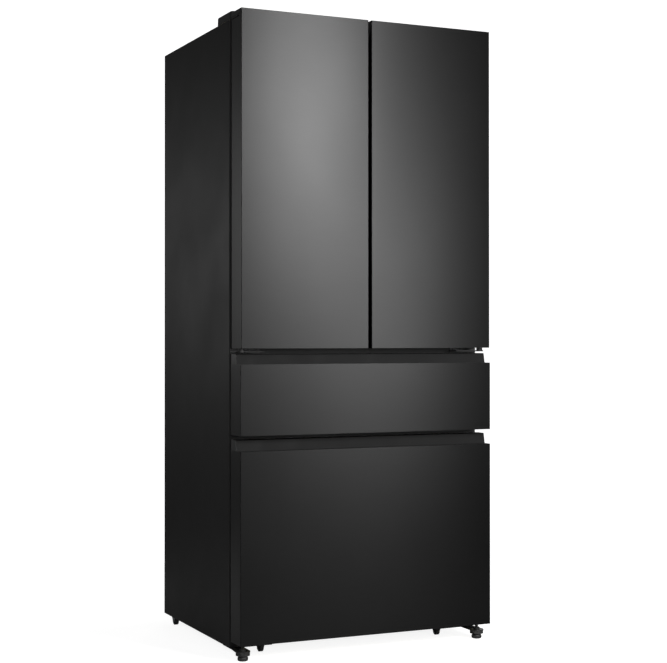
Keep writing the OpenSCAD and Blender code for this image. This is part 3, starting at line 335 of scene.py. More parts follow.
# Brushing across the front sheet spreads its shine up and down
def addBrushing(tree):
    brushing = addNode(tree, "ShaderNodeTangent", direction_type="RADIAL", axis="Z")
    tree.links.new(brushing.outputs["Tangent"], tree.nodes["Principled BSDF"].inputs["Tangent"])


# Hot-dip zinc sets in flat crystals that catch the light differently
def addCrystals(tree, size):
    spot = addNode(tree, "ShaderNodeTexCoord")
    crystals = addNode(tree, "ShaderNodeTexVoronoi", {"Scale": 1 / (size * mm)},
                       {"Vector": spot.outputs["Object"]})
    tone = addNode(tree, "ShaderNodeSeparateColor", wires={"Color": crystals.outputs["Color"]})
    shader = tree.nodes["Principled BSDF"]
    shadeBetween(tree, shader, tone.outputs["Red"], "#84878a", "#9a9da0", 0.1, 0.9)
    roughBetween(tree, shader, tone.outputs["Green"], 0.38, 0.55)


addBrushing(finishes["frontSteel"].node_tree)
addCrystals(finishes["zinc"].node_tree, 9)
print("finishes ready:", len(finishes))


# mesh tools

# A piece's measures: lengths in millimetres, or lists of points, as metres, and others as they are
def metres(lengths, **others):
    made = {name: [(u * mm, v * mm) for u, v in length] if isinstance(length, list) else length * mm
            for name, length in lengths.items()}
    return SimpleNamespace(**made, **others)


# Turns a bmesh into an object with that mesh
def meshObject(name, bm):
    mesh = bpy.data.meshes.new(name)
    bm.to_mesh(mesh)
    bm.free()
    return linked(name, mesh)


# Turns a bmesh into a finished piece that rides on a body and may stand for a CAD node
def makePiece(name, bm, finish, body, node=None, smoothAngle=38):
    bmesh.ops.recalc_face_normals(bm, faces=bm.faces)
    piece = meshObject(name, bm)
    piece.data.polygons.foreach_set("use_smooth", [True] * len(piece.data.polygons))
    piece.data.set_sharp_from_angle(angle=math.radians(smoothAngle))
    piece.data.materials.append(finishes[finish])
    piece.modifiers.new("evenShine", "WEIGHTED_NORMAL").keep_sharp = True
    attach(piece, body)
    if node:
        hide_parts(node)


# A piece that stands for one CAD node, named after it and on the same body
def standFor(node, bm, finish, smoothAngle=38):
    makePiece(node.replace("_", "-"), bm, finish, body_of(frame["nodes"][node])[0], node, smoothAngle)


# The spans on the left and on the right between two distances from the middle
def bothSides(a, b):
    return [(-b, -a), (a, b)]


def addBlock(bm, low, high):
    for vert in bmesh.ops.create_cube(bm, size=1.0)["verts"]:
        vert.co = Vector([low[i] if vert.co[i] < 0 else high[i] for i in range(3)])


def bevelEdges(bm, radius, segments=2, angle=35):
    sharp = [e for e in bm.edges if len(e.link_faces) == 2 and e.calc_face_angle(0) > math.radians(angle)]
    bmesh.ops.bevel(bm, geom=sharp, offset=radius, segments=segments, profile=0.5, affect="EDGES",
                    clamp_overlap=True)


# Blocks with rounded edges, each given by its low and high corner
def roundBlocks(blocks, radius, segments=3):
    bm = bmesh.new()
    for low, high in blocks:
        addBlock(bm, low, high)
    bevelEdges(bm, radius, segments)
    return bm


# The mesh that an object's modifiers leave
def plainMesh(source):
    return bpy.data.meshes.new_from_object(source.evaluated_get(bpy.context.evaluated_depsgraph_get()))


# Takes boxes out of a mesh
def carve(bm, boxes):
    tool = bmesh.new()
    for low, high in boxes:
        addBlock(tool, low, high)
    body, tool = meshObject("body", bm.copy()), meshObject("tool", tool)
    cut = body.modifiers.new("cut", "BOOLEAN")
    cut.operation, cut.solver, cut.object = "DIFFERENCE", "EXACT", tool
    result = plainMesh(body)
    bm.clear()
    bm.from_mesh(result)
    for thing in (body, tool):
        bpy.data.objects.remove(thing)


# Adds the geometry of one mesh to another
def addTo(bm, other):
    mesh = bpy.data.meshes.new("joining")
    other.to_mesh(mesh)
    other.free()
    bm.from_mesh(mesh)
    bpy.data.meshes.remove(mesh)


# Joins rings of equal length by walls; a closed one runs round from the last ring to the first
def loft(bm, rings, closed=False):
    rows = [[bm.verts.new(p) for p in ring] for ring in rings]
    count = len(rows[0])
    for a, b in list(zip(rows, rows[1:])) + ([(rows[-1], rows[0])] if closed else []):
        for i in range(count):
            j = (i + 1) % count
            bm.faces.new((a[i], a[j], b[j], b[i]))
    if not closed:
        bm.faces.new(rows[0])
        bm.faces.new(rows[-1])


# Points on an arc between two angles in degrees, from the first step on
def arc(u, v, radius, start, end, steps=5, first=0):
    angles = [math.radians(start + (end - start) * k / steps) for k in range(first, steps + 1)]
    return [(u + radius * math.cos(a), v + radius * math.sin(a)) for a in angles]


# A closed circle, without its last point
def circle(u, v, radius, steps):
    return arc(u, v, radius, 0, 360, steps)[:-1]


def roundRect(u0, u1, v0, v1, radius, steps):
    points = []
    for u, v, start in ((u1 - radius, v1 - radius, 0), (u0 + radius, v1 - radius, 90),
                        (u0 + radius, v0 + radius, 180), (u1 - radius, v0 + radius, 270)):
        points += arc(u, v, radius, start, start + 90, steps)
    return points


# Rounds the corners of an outline; each corner is (u, v, radius)
def filletOutline(corners, steps=5):
    points = []
    count = len(corners)
    for i, (u, v, radius) in enumerate(corners):
        here = Vector((u, v))
        if radius <= 0:
            points.append((u, v))
            continue
        before = (Vector(corners[i - 1][:2]) - here).normalized()
        after = (Vector(corners[(i + 1) % count][:2]) - here).normalized()
        half = before.angle(after) / 2
        reach = radius / math.tan(half)
        centre = here + (before + after).normalized() * (radius / math.sin(half))
        start = here + before * reach - centre
        end = here + after * reach - centre
        sweep = start.angle_signed(end)
        for k in range(steps + 1):
            turned = Matrix.Rotation(-sweep * k / steps, 2) @ start
            points.append(tuple(centre + turned))
    return points


# Extrudes an outline of (depth, height) points across the width
def acrossWidth(bm, outline, x0, x1):
    loft(bm, [[(x, d, z) for d, z in outline] for x in (x0, x1)])


# Rings round a box's plan; the profile lists (inset, height) points
def floorRings(low, high, corner, profile, steps=6):
    rings = []
    for inset, height in profile:
        flat = roundRect(low[0] + inset, high[0] - inset, low[1] + inset, high[1] - inset,
                         max(corner - inset, leastCorner), steps)
        rings.append([(u, v, height) for u, v in flat])
    return rings


# Rings round a box's front; the profile lists (inset, depth) points
def frontRings(low, high, corner, profile, steps=6):
    flat = floorRings((low[0], low[2]), (high[0], high[2]), corner, profile, steps)
    return [[(x, depth, z) for x, z, depth in ring] for ring in flat]


# Turns a profile of (radius, distance) points about an axis through a centre
def lathe(bm, centre, axis, profile, steps=48, closed=False):
    order = {"x": (2, 0, 1), "y": (0, 2, 1), "z": (0, 1, 2)}[axis]
    rings = []
    for radius, along in profile:
        points = [(u, v, along) for u, v in circle(0, 0, radius, steps)]
        rings.append([Vector(centre) + Vector([point[i] for i in order]) for point in points])
    loft(bm, rings, closed)


def hingeLine(joint):
    return Vector(next(j for j in frame["joints"] if j["name"] == joint)["pos_m"])


# The mesh of a CAD node, with its corners joined
def cadMesh(node, reach):
    bm = bmesh.new()
    bm.from_mesh(frame["nodes"][node].data)
    bmesh.ops.remove_doubles(bm, verts=bm.verts, dist=reach * mm)
    return bm


# The separate solids of a CAD node, as low and high corners
def solidsOf(node):
    bm = cadMesh(node, 0.01)
    left, boxes = set(bm.verts), []
    while left:
        group, queue = [], [left.pop()]
        while queue:
            vert = queue.pop()
            group.append(vert.co.copy())
            found = {edge.other_vert(vert) for edge in vert.link_edges} & left
            left -= found
            queue += found
        boxes.append([Vector([pick(p[i] for p in group) for i in range(3)]) for pick in (min, max)])
    bm.free()
    return sorted(boxes, key=lambda b: (round(b[0].z, 4), round(b[0].x, 4), round(b[0].y, 4)))


# A copy of a CAD node with its edges broken, as pressing or moulding leaves them
def softened(node, finish, edge, segments=2):
    bm = cadMesh(node, 0.005)
    bmesh.ops.dissolve_limit(bm, angle_limit=math.radians(1), verts=bm.verts, edges=bm.edges)
    bevelEdges(bm, edge * mm, segments)
    standFor(node, bm, finish)


# Geometry Nodes tree that sets a piece on every vertex of its input
def spotTree():
    tree = bpy.data.node_groups.new("piecesOnSpots", "GeometryNodeTree")
    for name, kind in (("Spots", "Geometry"), ("Piece", "Object")):
        tree.interface.new_socket(name, in_out="INPUT", socket_type="NodeSocket" + kind)
    tree.interface.new_socket("Pieces", in_out="OUTPUT", socket_type="NodeSocketGeometry")
    given = addNode(tree, "NodeGroupInput").outputs
    piece = addNode(tree, "GeometryNodeObjectInfo", wires={"Object": given["Piece"]})
    placed = addNode(tree, "GeometryNodeInstanceOnPoints",
                     wires={"Points": given["Spots"], "Instance": piece.outputs["Geometry"]})
    real = addNode(tree, "GeometryNodeRealizeInstances", wires={0: placed.outputs[0]})
    addNode(tree, "NodeGroupOutput", wires={"Pieces": real.outputs[0]})
    return tree


piecesOnSpots = spotTree()


# Copies of a mesh on spots, as one mesh
def onSpots(bm, places):
    spots = bpy.data.meshes.new("spots")
    spots.from_pydata(places, [], [])
    source, template = linked("spots", spots), meshObject("template", bm)
    modifier = source.modifiers.new("grow", "NODES")
    modifier.node_group = piecesOnSpots
    modifier[piecesOnSpots.interface.items_tree["Piece"].identifier] = template
    copies = bmesh.new()
    copies.from_mesh(plainMesh(source))
    for thing in (source, template):
        bpy.data.objects.remove(thing)
    return copies


# Copies of a mesh in rows: count by step, then rows by rowStep
def repeated(bm, count, step, rows=1, rowStep=(0, 0, 0)):
    return onSpots(bm, [Vector(step) * i + Vector(rowStep) * j for j in range(rows) for i in range(count)])


# fronts

panelMake = metres({"sheet": 1, "edgeRadius": 1.6, "hem": 0.15, "wrap": 1.9, "linerGap": 0.1}, arcSteps=4)
pocketMake = metres({"reach": 47.2, "front": 13, "drop": 4, "back": 10, "over": 1})


# The pocket in a door's top corner that the hinge sits in
def hingePocket(side):
    skinLow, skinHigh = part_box(side + "_door_skin")
    shellLow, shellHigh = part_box("cabinet_shell")
    make = pocketMake
    if side == "left":
        x0, x1 = skinLow.x - make.over, skinLow.x + make.reach
    else:
        x0, x1 = skinHigh.x - make.reach, skinHigh.x + make.over
    return (Vector((x0, skinLow.y + make.front, shellHigh.z - make.drop)),
            Vector((x1, shellLow.y + make.back, skinHigh.z + make.over)))


# Bent sheet of a front: a flat face, two round edges and two returns that wrap the liner's edges
def frontPanel(front):
    low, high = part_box(front + "_skin")
    radius, back = panelMake.edgeRadius, high.y + panelMake.wrap
    outline = []
    for inset, order in ((0, 1), (panelMake.sheet, -1)):
        side = [(low.x + inset, back)]
        for x, start in ((low.x + radius, 180), (high.x - radius, 270)):
            side += arc(x, low.y + radius, radius - inset, start, start + 90, panelMake.arcSteps)
        outline += (side + [(high.x - inset, back)])[::order]
    bm = bmesh.new()
    loft(bm, [[(x, depth, z) for x, depth in outline] for z in (low.z, high.z)])
    bevelEdges(bm, panelMake.hem, 2, 60)
    side, kind = front.split("_")
    if kind == "door":
        carve(bm, [hingePocket(side)])
    standFor(front + "_skin", bm, "frontSteel")


for front in ("left_door", "right_door", "middle_drawer", "bottom_drawer"):
    frontPanel(front)
print("front panels made")

gripMake = metres({"foot": 32, "lean": 6, "groove": 20, "lip": 9, "lipRadius": 2, "grooveRadius": 7,
                   "footRadius": 3, "crestRadius": 2.5, "backRadius": 0.8, "faceRadius": 0.6,
                   "panelInset": 1.05, "cap": 0.15})


# Full-width grip of a drawer: lip, finger groove and leaning back wall in one moulding
def drawerGrip(body):
    node, make = body + "_grip", gripMake
    (low, high), (skinLow, skinHigh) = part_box(node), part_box(body + "_skin")
    foot, lip, panelTop = skinLow.y + make.foot, skinLow.y + make.lip, skinHigh.z
    floor, groove = panelTop - make.groove, make.grooveRadius
    crest = [(high.y, high.z, make.backRadius), (foot + make.lean, high.z, make.crestRadius)]
    outline = filletOutline([(low.y, low.z, 0), (high.y, low.z, 0)] + crest + [
        (foot, panelTop, make.footRadius), (foot, floor, groove), (lip, floor, groove),
        (lip, panelTop, make.lipRadius), (low.y, panelTop, make.faceRadius)])
    inset, cap = make.panelInset, make.cap
    bm, caps = bmesh.new(), bmesh.new()
    acrossWidth(bm, outline, low.x + inset, high.x - inset)
    # above the panel the back wall runs on to the full width, where a thin cap closes each end
    wall = filletOutline([(high.y, panelTop, 0)] + crest + [(foot, panelTop, 0)])
    for x, way in ((low.x, 1), (high.x, -1)):
        acrossWidth(caps, wall, *sorted((x, x + way * cap)))
        acrossWidth(bm, wall, *sorted((x + way * cap, x + way * inset)))
    name = body.replace("_drawer", "-grip")
    makePiece(name + "-caps", caps, "dark", body, node)
    makePiece(name, bm, "grip", body, node)


for drawer in ("middle_drawer", "bottom_drawer"):
    drawerGrip(drawer)
print("grips made")


# cabinet

shellMake = metres({"sheet": 1, "bendRadius": 3.5, "lipRadius": 3, "flange": 47, "leastRadius": 0.3,
                    "edge": 0.3, "returnInset": 0.1})


# Wrapper of painted sheet: one U over both sides and the roof, with a flange round the front
def cabinetShell():
    low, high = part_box("cabinet_shell")
    sheet, lip, flange = shellMake.sheet, shellMake.lipRadius, shellMake.flange
    section = [(0, high.y), (0, low.y + lip)] + arc(lip, low.y + lip, lip, 180, 270, 5, 1)
    section += [(flange, low.y), (flange, low.y + sheet), (lip, low.y + sheet), (sheet, low.y + lip + sheet),
                (sheet, high.y)]
    paths = []
    for inset, depth in section:
        radius = max(shellMake.bendRadius - inset, shellMake.leastRadius)
        path = [(low.x + inset, low.z)]
        for x, start in ((low.x + inset + radius, 180), (high.x - inset - radius, 90)):
            path += arc(x, high.z - inset - radius, radius, start, start - 90, 6)
        path.append((high.x - inset, low.z))
        paths.append([(x, depth, z) for x, z in path])
    bm = bmesh.new()
    loft(bm, list(zip(*paths)))
    # return flanges that close the sides' ends beside the machine compartment
    step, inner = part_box("rear_panel")[0].z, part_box("drawer_bay_liners")[1].x
    for x0, x1 in bothSides(inner, high.x - shellMake.returnInset):
        addTo(bm, roundBlocks([((x0, high.y - sheet, low.z), (x1, high.y, step))], shellMake.edge, 2))
    makePiece("cabinet-wrapper", bm, "sideSteel", "cabinet", "cabinet_shell")


# Cross rails of the front flange: the sill and the two rails between the bays
def cabinetRails():
    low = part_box("cabinet_shell")[0]
    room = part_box("fridge_liner")
    edges = sorted((a.z, b.z) for a, b in [room] + solidsOf("drawer_bay_liners"))
    spans = [(low.z, edges[0][0])] + [(a[1], b[0]) for a, b in zip(edges, edges[1:])]
    blocks = [((-room[1].x, low.y, z0), (room[1].x, low.y + shellMake.sheet, z1)) for z0, z1 in spans]
    makePiece("cabinet-rails", roundBlocks(blocks, shellMake.edge, 2), "sideSteel", "cabinet")


cabinetShell()
cabinetRails()
print("cabinet made")

coverMake = metres({"corner": 15, "crown": 5, "footLine": 1.2, "footInset": 0.8, "draft": 0.4,
                    "overhang": 6, "slotDepth": 9, "slotGap": 0.3, "cutOver": 1, "noseInset": 2.5,
                    "noseReach": 16, "noseRise": 4.5, "noseTop": 3, "noseCorner": 4, "noseCrown": 1.5,
                    "noseRoot": 24}, crownShare=0.85)


# Moulded block, round in plan, with a soft upper edge and a shadow line at the foot
def coverBlock(low, high, corner, crown):
    inset, draft, line = coverMake.footInset, coverMake.draft, low.z + coverMake.footLine
    profile = [(inset, low.z), (inset, line), (0, line + inset), (draft, high.z - crown)]
    profile += arc(draft + crown, high.z - crown, crown, 180, 90, 5, 1)
    profile.append((coverMake.crownShare * corner, high.z))
    bm = bmesh.new()
    loft(bm, floorRings(low, high, corner, profile, 8))
    return bm


# Hinge cover: a box on the roof with a slot for the hinge's arm, and a nose over the arm in the door's top
def hingeCover(low, high):
    make = coverMake
    shellLow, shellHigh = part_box("cabinet_shell")
    side, way = ("left", -1) if low.x < 0 else ("right", 1)
    front, noseFoot = shellLow.y - make.overhang, shellHigh.z + make.noseRise
    bm = coverBlock(Vector((low.x, front, low.z)), high, make.corner, make.crown)
    armLow, armHigh = next((a, b) for a, b in solidsOf("door_hinges") if b.z > shellHigh.z and a.x * way > 0)
    carve(bm, [(Vector((armLow.x - make.slotGap, front - make.cutOver, low.z - make.cutOver)),
                Vector((armHigh.x + make.slotGap, front + make.slotDepth, noseFoot)))])
    x0, x1 = sorted(((low.x if way < 0 else high.x) - way * make.noseInset,
                     hingeLine(side + "_door_hinge").x - way * make.noseReach))
    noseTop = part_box(side + "_door_skin")[1].z + make.noseTop
    addTo(bm, coverBlock(Vector((x0, low.y, noseFoot)), Vector((x1, front + make.noseRoot, noseTop)),
                         make.noseCorner, make.noseCrown))
    return bm


covers = bmesh.new()
for coverLow, coverHigh in solidsOf("hinge_covers"):
    addTo(covers, hingeCover(coverLow, coverHigh))
standFor("hinge_covers", covers, "dark")
print("hinge covers made")


# doors, inner side

doorMake = metres({"rim": 22, "crest": 8, "foot": 6, "corner": 30, "sheetDepth": 2, "sink": 1,
                   "footGap": 17, "topGap": 16, "plateEdge": 0.5})


# Inner face of a door: formed sheet with a rounded rim that carries the bins
def doorLiner(side):
    node, make = side + "_door_liner", doorMake
    (low, high), bins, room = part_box(node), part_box(side + "_door_bins"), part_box("fridge_liner")
    rim, crest, foot = make.rim, make.crest, make.foot
    sheet = low.y + make.sheetDepth
    profile = [(0, sheet - make.sink), (0, high.y - crest)]
    profile += arc(crest, high.y - crest, crest, 180, 90, 5, 1)
    profile += arc(rim - crest, high.y - crest, crest, 90, 0)
    profile += arc(rim + foot, sheet + foot, foot, 180, 270) + [(rim + foot, sheet - make.sink)]
    bm = bmesh.new()
    loft(bm, frontRings((bins[0].x - rim, 0, room[0].z + make.footGap),
                        (bins[1].x + rim, 0, room[1].z - make.topGap), make.corner, profile), closed=True)
    skinLow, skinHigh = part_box(side + "_door_skin")
    plate = bmesh.new()
    inset = panelMake.sheet + panelMake.linerGap
    addBlock(plate, (skinLow.x + inset, low.y, low.z), (skinHigh.x - inset, sheet, high.z))
    carve(plate, [hingePocket(side)])
    bevelEdges(plate, make.plateEdge, 2)
    addTo(bm, plate)
    if side == "left":
        addLugs(bm, bins[1].x + rim)
    standFor(node, bm, "liner")


lugMake = metres({"height": 12, "depth": 5, "root": 1, "first": 48, "last": 78, "topGap": 12,
                  "radius": 5, "edge": 0.6, "pinRadius": 2.5, "pinRise": 16, "pinFoot": 1})


# The three lugs and pins that the mullion turns on
def addLugs(bm, rimX):
    axis, make = hingeLine("mullion_flip"), lugMake
    low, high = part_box("flip_mullion")
    tall, deep, edge, radius, pin = make.height, make.depth, make.edge, make.radius, make.pinRadius
    top, tip = high.z - make.topGap, tall + make.pinRise
    barrel = [(radius - edge, 0), (radius, edge), (radius, tall - edge), (radius - edge, tall)]
    for z in (low.z + make.first, (low.z + top) / 2, top - make.last):
        foot = (axis.x, axis.y, z)
        addBlock(bm, (rimX - make.root, axis.y - deep, z), (axis.x, axis.y + deep, z + tall))
        lathe(bm, foot, "z", barrel, 32)
        lathe(bm, foot, "z", [(pin, tall - make.pinFoot), (pin, tip - edge), (pin - edge, tip)], 24)


# Half of the gasket's section is given as (millimetres in, share of the depth)
gasketMake = metres({"wide": 14, "corner": 3}, smoothAngle=60,
                    half=[(1, 0), (0.4, 0.08), (2.6, 0.2), (1.6, 0.34), (3.2, 0.48), (0.3, 0.6), (0, 0.74),
                          (0.5, 0.93), (2, 1)])


# Magnetic gasket: a foot pressed into the liner, a bellows and the magnet's pillow
def gasket(body):
    node, make = body + "_gasket", gasketMake
    low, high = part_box(node)
    half = [(u * mm, low.y + v * (high.y - low.y)) for u, v in make.half]
    section = half + [(make.wide - u, depth) for u, depth in reversed(half)]
    bm = bmesh.new()
    loft(bm, frontRings(low, high, make.corner, section, 3), closed=True)
    standFor(node, bm, "gasket", make.smoothAngle)


trayMake = metres({"wall": 2.4, "draft": 2, "lip": 2.4, "lipHeight": 6, "edge": 0.9, "floorRadius": 4,
                   "floorStep": 1.2, "hook": [(0.7, 0.5), (0, 1.4)]})


# Moulded tray: drafted walls, a rounded floor and a rolled lip at the top
def tray(bm, low, high, corner, make=trayMake):
    wall, draft, lip, lipHeight = make.wall, make.draft, make.lip, make.lipHeight
    edge, floor, step = make.edge, make.floorRadius, make.floorStep
    outside, lipFoot = [(floor, 0), (step, step), (0, floor)], high.z - lipHeight
    profile = [(lip + draft + u, low.z + v) for u, v in outside] + [(lip, lipFoot)]
    profile += [(u, lipFoot + v) for u, v in make.hook]
    profile += [(0, high.z - edge), (edge, high.z), (lip + wall - edge, high.z), (lip + wall, high.z - edge)]
    profile += [(lip + wall + draft + u, low.z + wall + v) for u, v in reversed(outside)]
    loft(bm, floorRings(low, high, corner, profile))


binMake = metres({"corner": 16, "ribHeight": 1.6, "ribWidth": 1.6, "ribRoot": 2.2, "ribEnd": 14,
                  "sideGap": 30}, ribs=9)


# Clear bins, with ribs across their floors
def doorBins(side):
    bm, make = bmesh.new(), binMake
    half, root = make.ribWidth / 2, make.ribRoot
    for low, high in solidsOf(side + "_door_bins"):
        tray(bm, low, high, make.corner)
        step = (high.x - low.x - 2 * make.sideGap) / (make.ribs - 1)
        for k in range(make.ribs):
            x = low.x + make.sideGap + k * step
            addBlock(bm, (x - half, low.y + make.ribEnd, low.z + root),
                     (x + half, high.y - make.ribEnd, low.z + root + make.ribHeight))
    standFor(side + "_door_bins", bm, "clear")


for side in ("left", "right"):
    doorLiner(side)
    gasket(side + "_door")
    doorBins(side)
for body in ("middle_drawer", "bottom_drawer"):
    gasket(body)
print("door insides made")


# fridge compartment

linerMake = metres({"corner": 18, "wall": 2, "edge": 0.5, "ledgeRadius": 3, "ledgeOut": 12,
                    "ledgeIn": 1, "ledgeFront": 12, "ledgeHeight": 8})


# Vacuum-formed liner with round inner corners, and the ledges that the shelves stand on
def fridgeLiner():
    low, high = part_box("fridge_liner")
    make = linerMake
    wall, corner, edge = make.wall, make.corner, make.edge
    profile = [(edge, high.y), (0, low.y + edge), (edge, low.y), (wall - edge, low.y), (wall, low.y + edge),
               (wall, high.y - wall - corner)]
    profile += arc(wall + corner, high.y - wall - corner, corner, 180, 90, 6, 1)
    bm = bmesh.new()
    loft(bm, frontRings(low, high, corner + wall, profile, 8))
    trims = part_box("shelf_trims")
    ledges = []
    for z in shelfHeights():
        for x0, x1 in bothSides(high.x - make.ledgeOut, high.x - make.ledgeIn):
            ledges.append(((x0, trims[0].y + make.ledgeFront, z - make.ledgeHeight), (x1, trims[1].y, z)))
    addTo(bm, roundBlocks(ledges, make.ledgeRadius))
    standFor("fridge_liner", bm, "liner")


trimMake = metres({"height": 12, "glassDrop": 2, "glass": 4, "width": 16, "noseRadius": 4, "corner": 10,
                   "seat": 8, "edge": 1, "wallHalf": 2.5, "wallFront": 6, "guideGap": 2,
                   "guideFront": 12, "guideLow": 24, "guideHigh": 8, "guideEdge": 1.2})
glassMake = metres({"edge": 0.8, "corner": 6})


# Undersides of the shelves' trims, worked out from the glass that they hold
def shelfHeights():
    return [pane[1].z - (trimMake.height - trimMake.glassDrop) for pane in solidsOf("glass_shelves")]


# Shelf frames with a rounded nose, a lip over the glass, and the wall and guides under the lowest one
def shelfTrims():
    low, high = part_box("shelf_trims")
    make = trimMake
    tall, wide, nose, seat, edge = make.height, make.width, make.noseRadius, make.seat, make.edge
    bm = bmesh.new()
    for z in shelfHeights():
        glassTop = z + tall - make.glassDrop
        glassLow = glassTop - make.glass
        profile = arc(nose, z + nose, nose, 270, 180) + arc(nose, z + tall - nose, nose, 180, 90)
        profile += [(seat - edge, z + tall), (seat, glassTop), (seat, glassLow), (wide - edge, glassLow),
                    (wide, glassLow - edge), (wide, z + edge), (wide - edge, z)]
        loft(bm, floorRings(low, high, make.corner, profile, 5), closed=True)
    shelf, half = shelfHeights()[0], make.wallHalf
    blocks = [((-half, low.y + make.wallFront, low.z), (half, high.y, shelf + edge))]
    for x0, x1 in bothSides(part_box("right_crisper")[1].x + make.guideGap, high.x):
        blocks.append(((x0, low.y + make.guideFront, shelf - make.guideLow),
                       (x1, high.y, shelf - make.guideHigh)))
    addTo(bm, roundBlocks(blocks, make.guideEdge))
    standFor("shelf_trims", bm, "trim")


def glassShelves():
    bm, edge = bmesh.new(), glassMake.edge
    for low, high in solidsOf("glass_shelves"):
        profile = [(edge, low.z), (0, low.z + edge), (0, high.z - edge), (edge, high.z)]
        loft(bm, floorRings(low, high, glassMake.corner, profile, 4))
    standFor("glass_shelves", bm, "glass")


crisperMake = metres({"corner": 14, "front": 6, "pullInset": 60, "pullHeight": 14, "pullSheet": 2.4,
                      "shelf": 4, "root": 2, "pullEdge": 1})


# Clear drawer with a moulded pull along its front edge
def crisper(side):
    low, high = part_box(side + "_crisper")
    make = crisperMake
    front, x0, x1 = low.y + make.front, low.x + make.pullInset, high.x - make.pullInset
    foot = high.z - make.pullHeight
    bm = bmesh.new()
    tray(bm, Vector((low.x, front, low.z)), high, make.corner)
    addTo(bm, roundBlocks([((x0, low.y, foot), (x1, front + make.root, foot + make.shelf)),
                           ((x0, low.y, foot), (x1, low.y + make.pullSheet, high.z))], make.pullEdge))
    standFor(side + "_crisper", bm, "clear")


fridgeLiner()
shelfTrims()
glassShelves()
for side in ("left", "right"):
    crisper(side)
print("fridge compartment made")


# feet and rollers

footMake = metres({"knob": [(3, 0), (1.2, 0.8), (0.9, 3), (0.9, 9), (1.8, 11.2), (3, 12)],  # (inset, height)
                   "collar": [(7.5, 12), (7, 13.5), (0.5, 13.5)],
                   "rib": [(0.3, 2), (0.9, 3), (0.9, 9), (0.3, 10)], "ribInset": 0.9,
                   "stem": 5, "threadDepth": 0.6, "threadFoot": 12.5, "pitch": 1.75, "knobTop": 12,
                   "stemTip": 1.2}, ribs=24, crestShare=(0.4, 0.6))


# Levelling foot: a ribbed knob on a threaded stem
def levellingFoot(side):
    low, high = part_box(side + "_foot")
    make = footMake
    x, y, radius, tall = (low.x + high.x) / 2, (low.y + high.y) / 2, (high.x - low.x) / 2, high.z - low.z
    bm = bmesh.new()
    lathe(bm, (x, y, low.z), "z", [(radius - u, v) for u, v in make.knob] + make.collar, 64)
    for ribX, ribY in circle(x, y, radius - make.ribInset, make.ribs):
        lathe(bm, (ribX, ribY, low.z), "z", make.rib, 8)
    stem, root, pitch, z = make.stem, make.stem - make.threadDepth, make.pitch, make.threadFoot
    thread = [(root, make.knobTop)]
    while z + pitch < tall:
        crest = [(stem, z + share * pitch) for share in make.crestShare]
        thread += [(root, z)] + crest + [(root, z + pitch)]
        z += pitch
    lathe(bm, (x, y, low.z), "z", thread + [(stem - make.stemTip, tall)], 32)
    standFor(side + "_foot", bm, "dark")


rollerMake = metres({"tyre": 2.5, "hub": 6, "bore": 3.05, "edge": 0.4, "shoulder": 0.8}, webShare=0.28)


# Pair of rollers: hub, web and a rounded tread
def rollers(pair):
    bm, make = bmesh.new(), rollerMake
    hub, tyre, bore, edge, shoulder = make.hub, make.tyre, make.bore, make.edge, make.shoulder
    for low, high in solidsOf(pair + "_rollers"):
        radius, wide = (high.z - low.z) / 2, high.x - low.x
        web = wide * make.webShare
        profile = [(bore, 0), (hub, 0), (hub + edge, edge), (hub + edge, web), (radius - tyre, web),
                   (radius - tyre, edge), (radius - shoulder, 0), (radius, shoulder)]
        profile += [(r, wide - a) for r, a in reversed(profile)]
        lathe(bm, (low.x, (low.y + high.y) / 2, (low.z + high.z) / 2), "x", profile, closed=True)
    standFor(pair + "_rollers", bm, "rubber")


for side in ("left", "right"):
    levellingFoot(side)
for pair in ("front", "rear"):
    rollers(pair)
print("feet and rollers made")


# cabinet, back and base

backMake = metres({"ribWidth": 14, "ribInset": 70, "hem": 0.35, "rib": [(0, -0.4), (2, 1.35), (4, 1.8)]},
                  ribs=7)


# Back sheet of zinc-coated steel, with a row of pressed ribs that stiffen it
def rearPanel():
    low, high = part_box("rear_panel")
    inset, half, ribs = backMake.ribInset, backMake.ribWidth / 2, backMake.ribs
    bm, rib, x = roundBlocks([(low, high)], backMake.hem, 2), bmesh.new(), low.x + inset
    loft(rib, frontRings((x - half, 0, low.z + inset), (x + half, 0, high.z - inset), half,
                         [(u, high.y + v) for u, v in backMake.rib], 8))
    addTo(bm, repeated(rib, ribs, ((high.x - low.x - 2 * inset) / (ribs - 1), 0, 0)))
    standFor("rear_panel", bm, "zinc")


louvreMake = metres({"width": 7, "sheet": 0.8, "slot": 55, "slotStep": 75, "rowStep": 20,
                     "firstRow": 100, "behind": 1.4, "over": 1, "edge": 0.2}, turn=35, count=8, rows=5)


# Pressed cover with louvres; the slots come with the CAD copy and each gets a slanted blade behind it
def machineCover():
    softened("machine_cover", "bracket", 0.5, 2)
    low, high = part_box("machine_cover")
    make = louvreMake
    x = (make.slotStep - make.slot - make.count * make.slotStep) / 2
    near, top, turn = high.y - make.behind, low.z + make.firstRow, math.radians(make.turn)
    far, foot = near - make.width * math.cos(turn), top - make.width * math.sin(turn)
    blade = bmesh.new()
    acrossWidth(blade, [(near, top), (far, foot), (far, foot - make.sheet), (near, top - make.sheet)],
                x - make.over, x + make.slot + make.over)
    bevelEdges(blade, make.edge, 1)
    blades = repeated(blade, make.count, (make.slotStep, 0, 0), make.rows, (0, 0, make.rowStep))
    makePiece("machine-cover-louvres", blades, "bracket", "cabinet")


# Each head's measures as shares of its radius, and of its height
screwMake = {"head": [(1, -0.5), (1, -0.2), (0.93, 0.15), (0.72, 0.43), (0.3, 0.5)], "floor": -0.05,
             "slotHalf": 0.12, "slotReach": 0.62, "flat": 0.8}


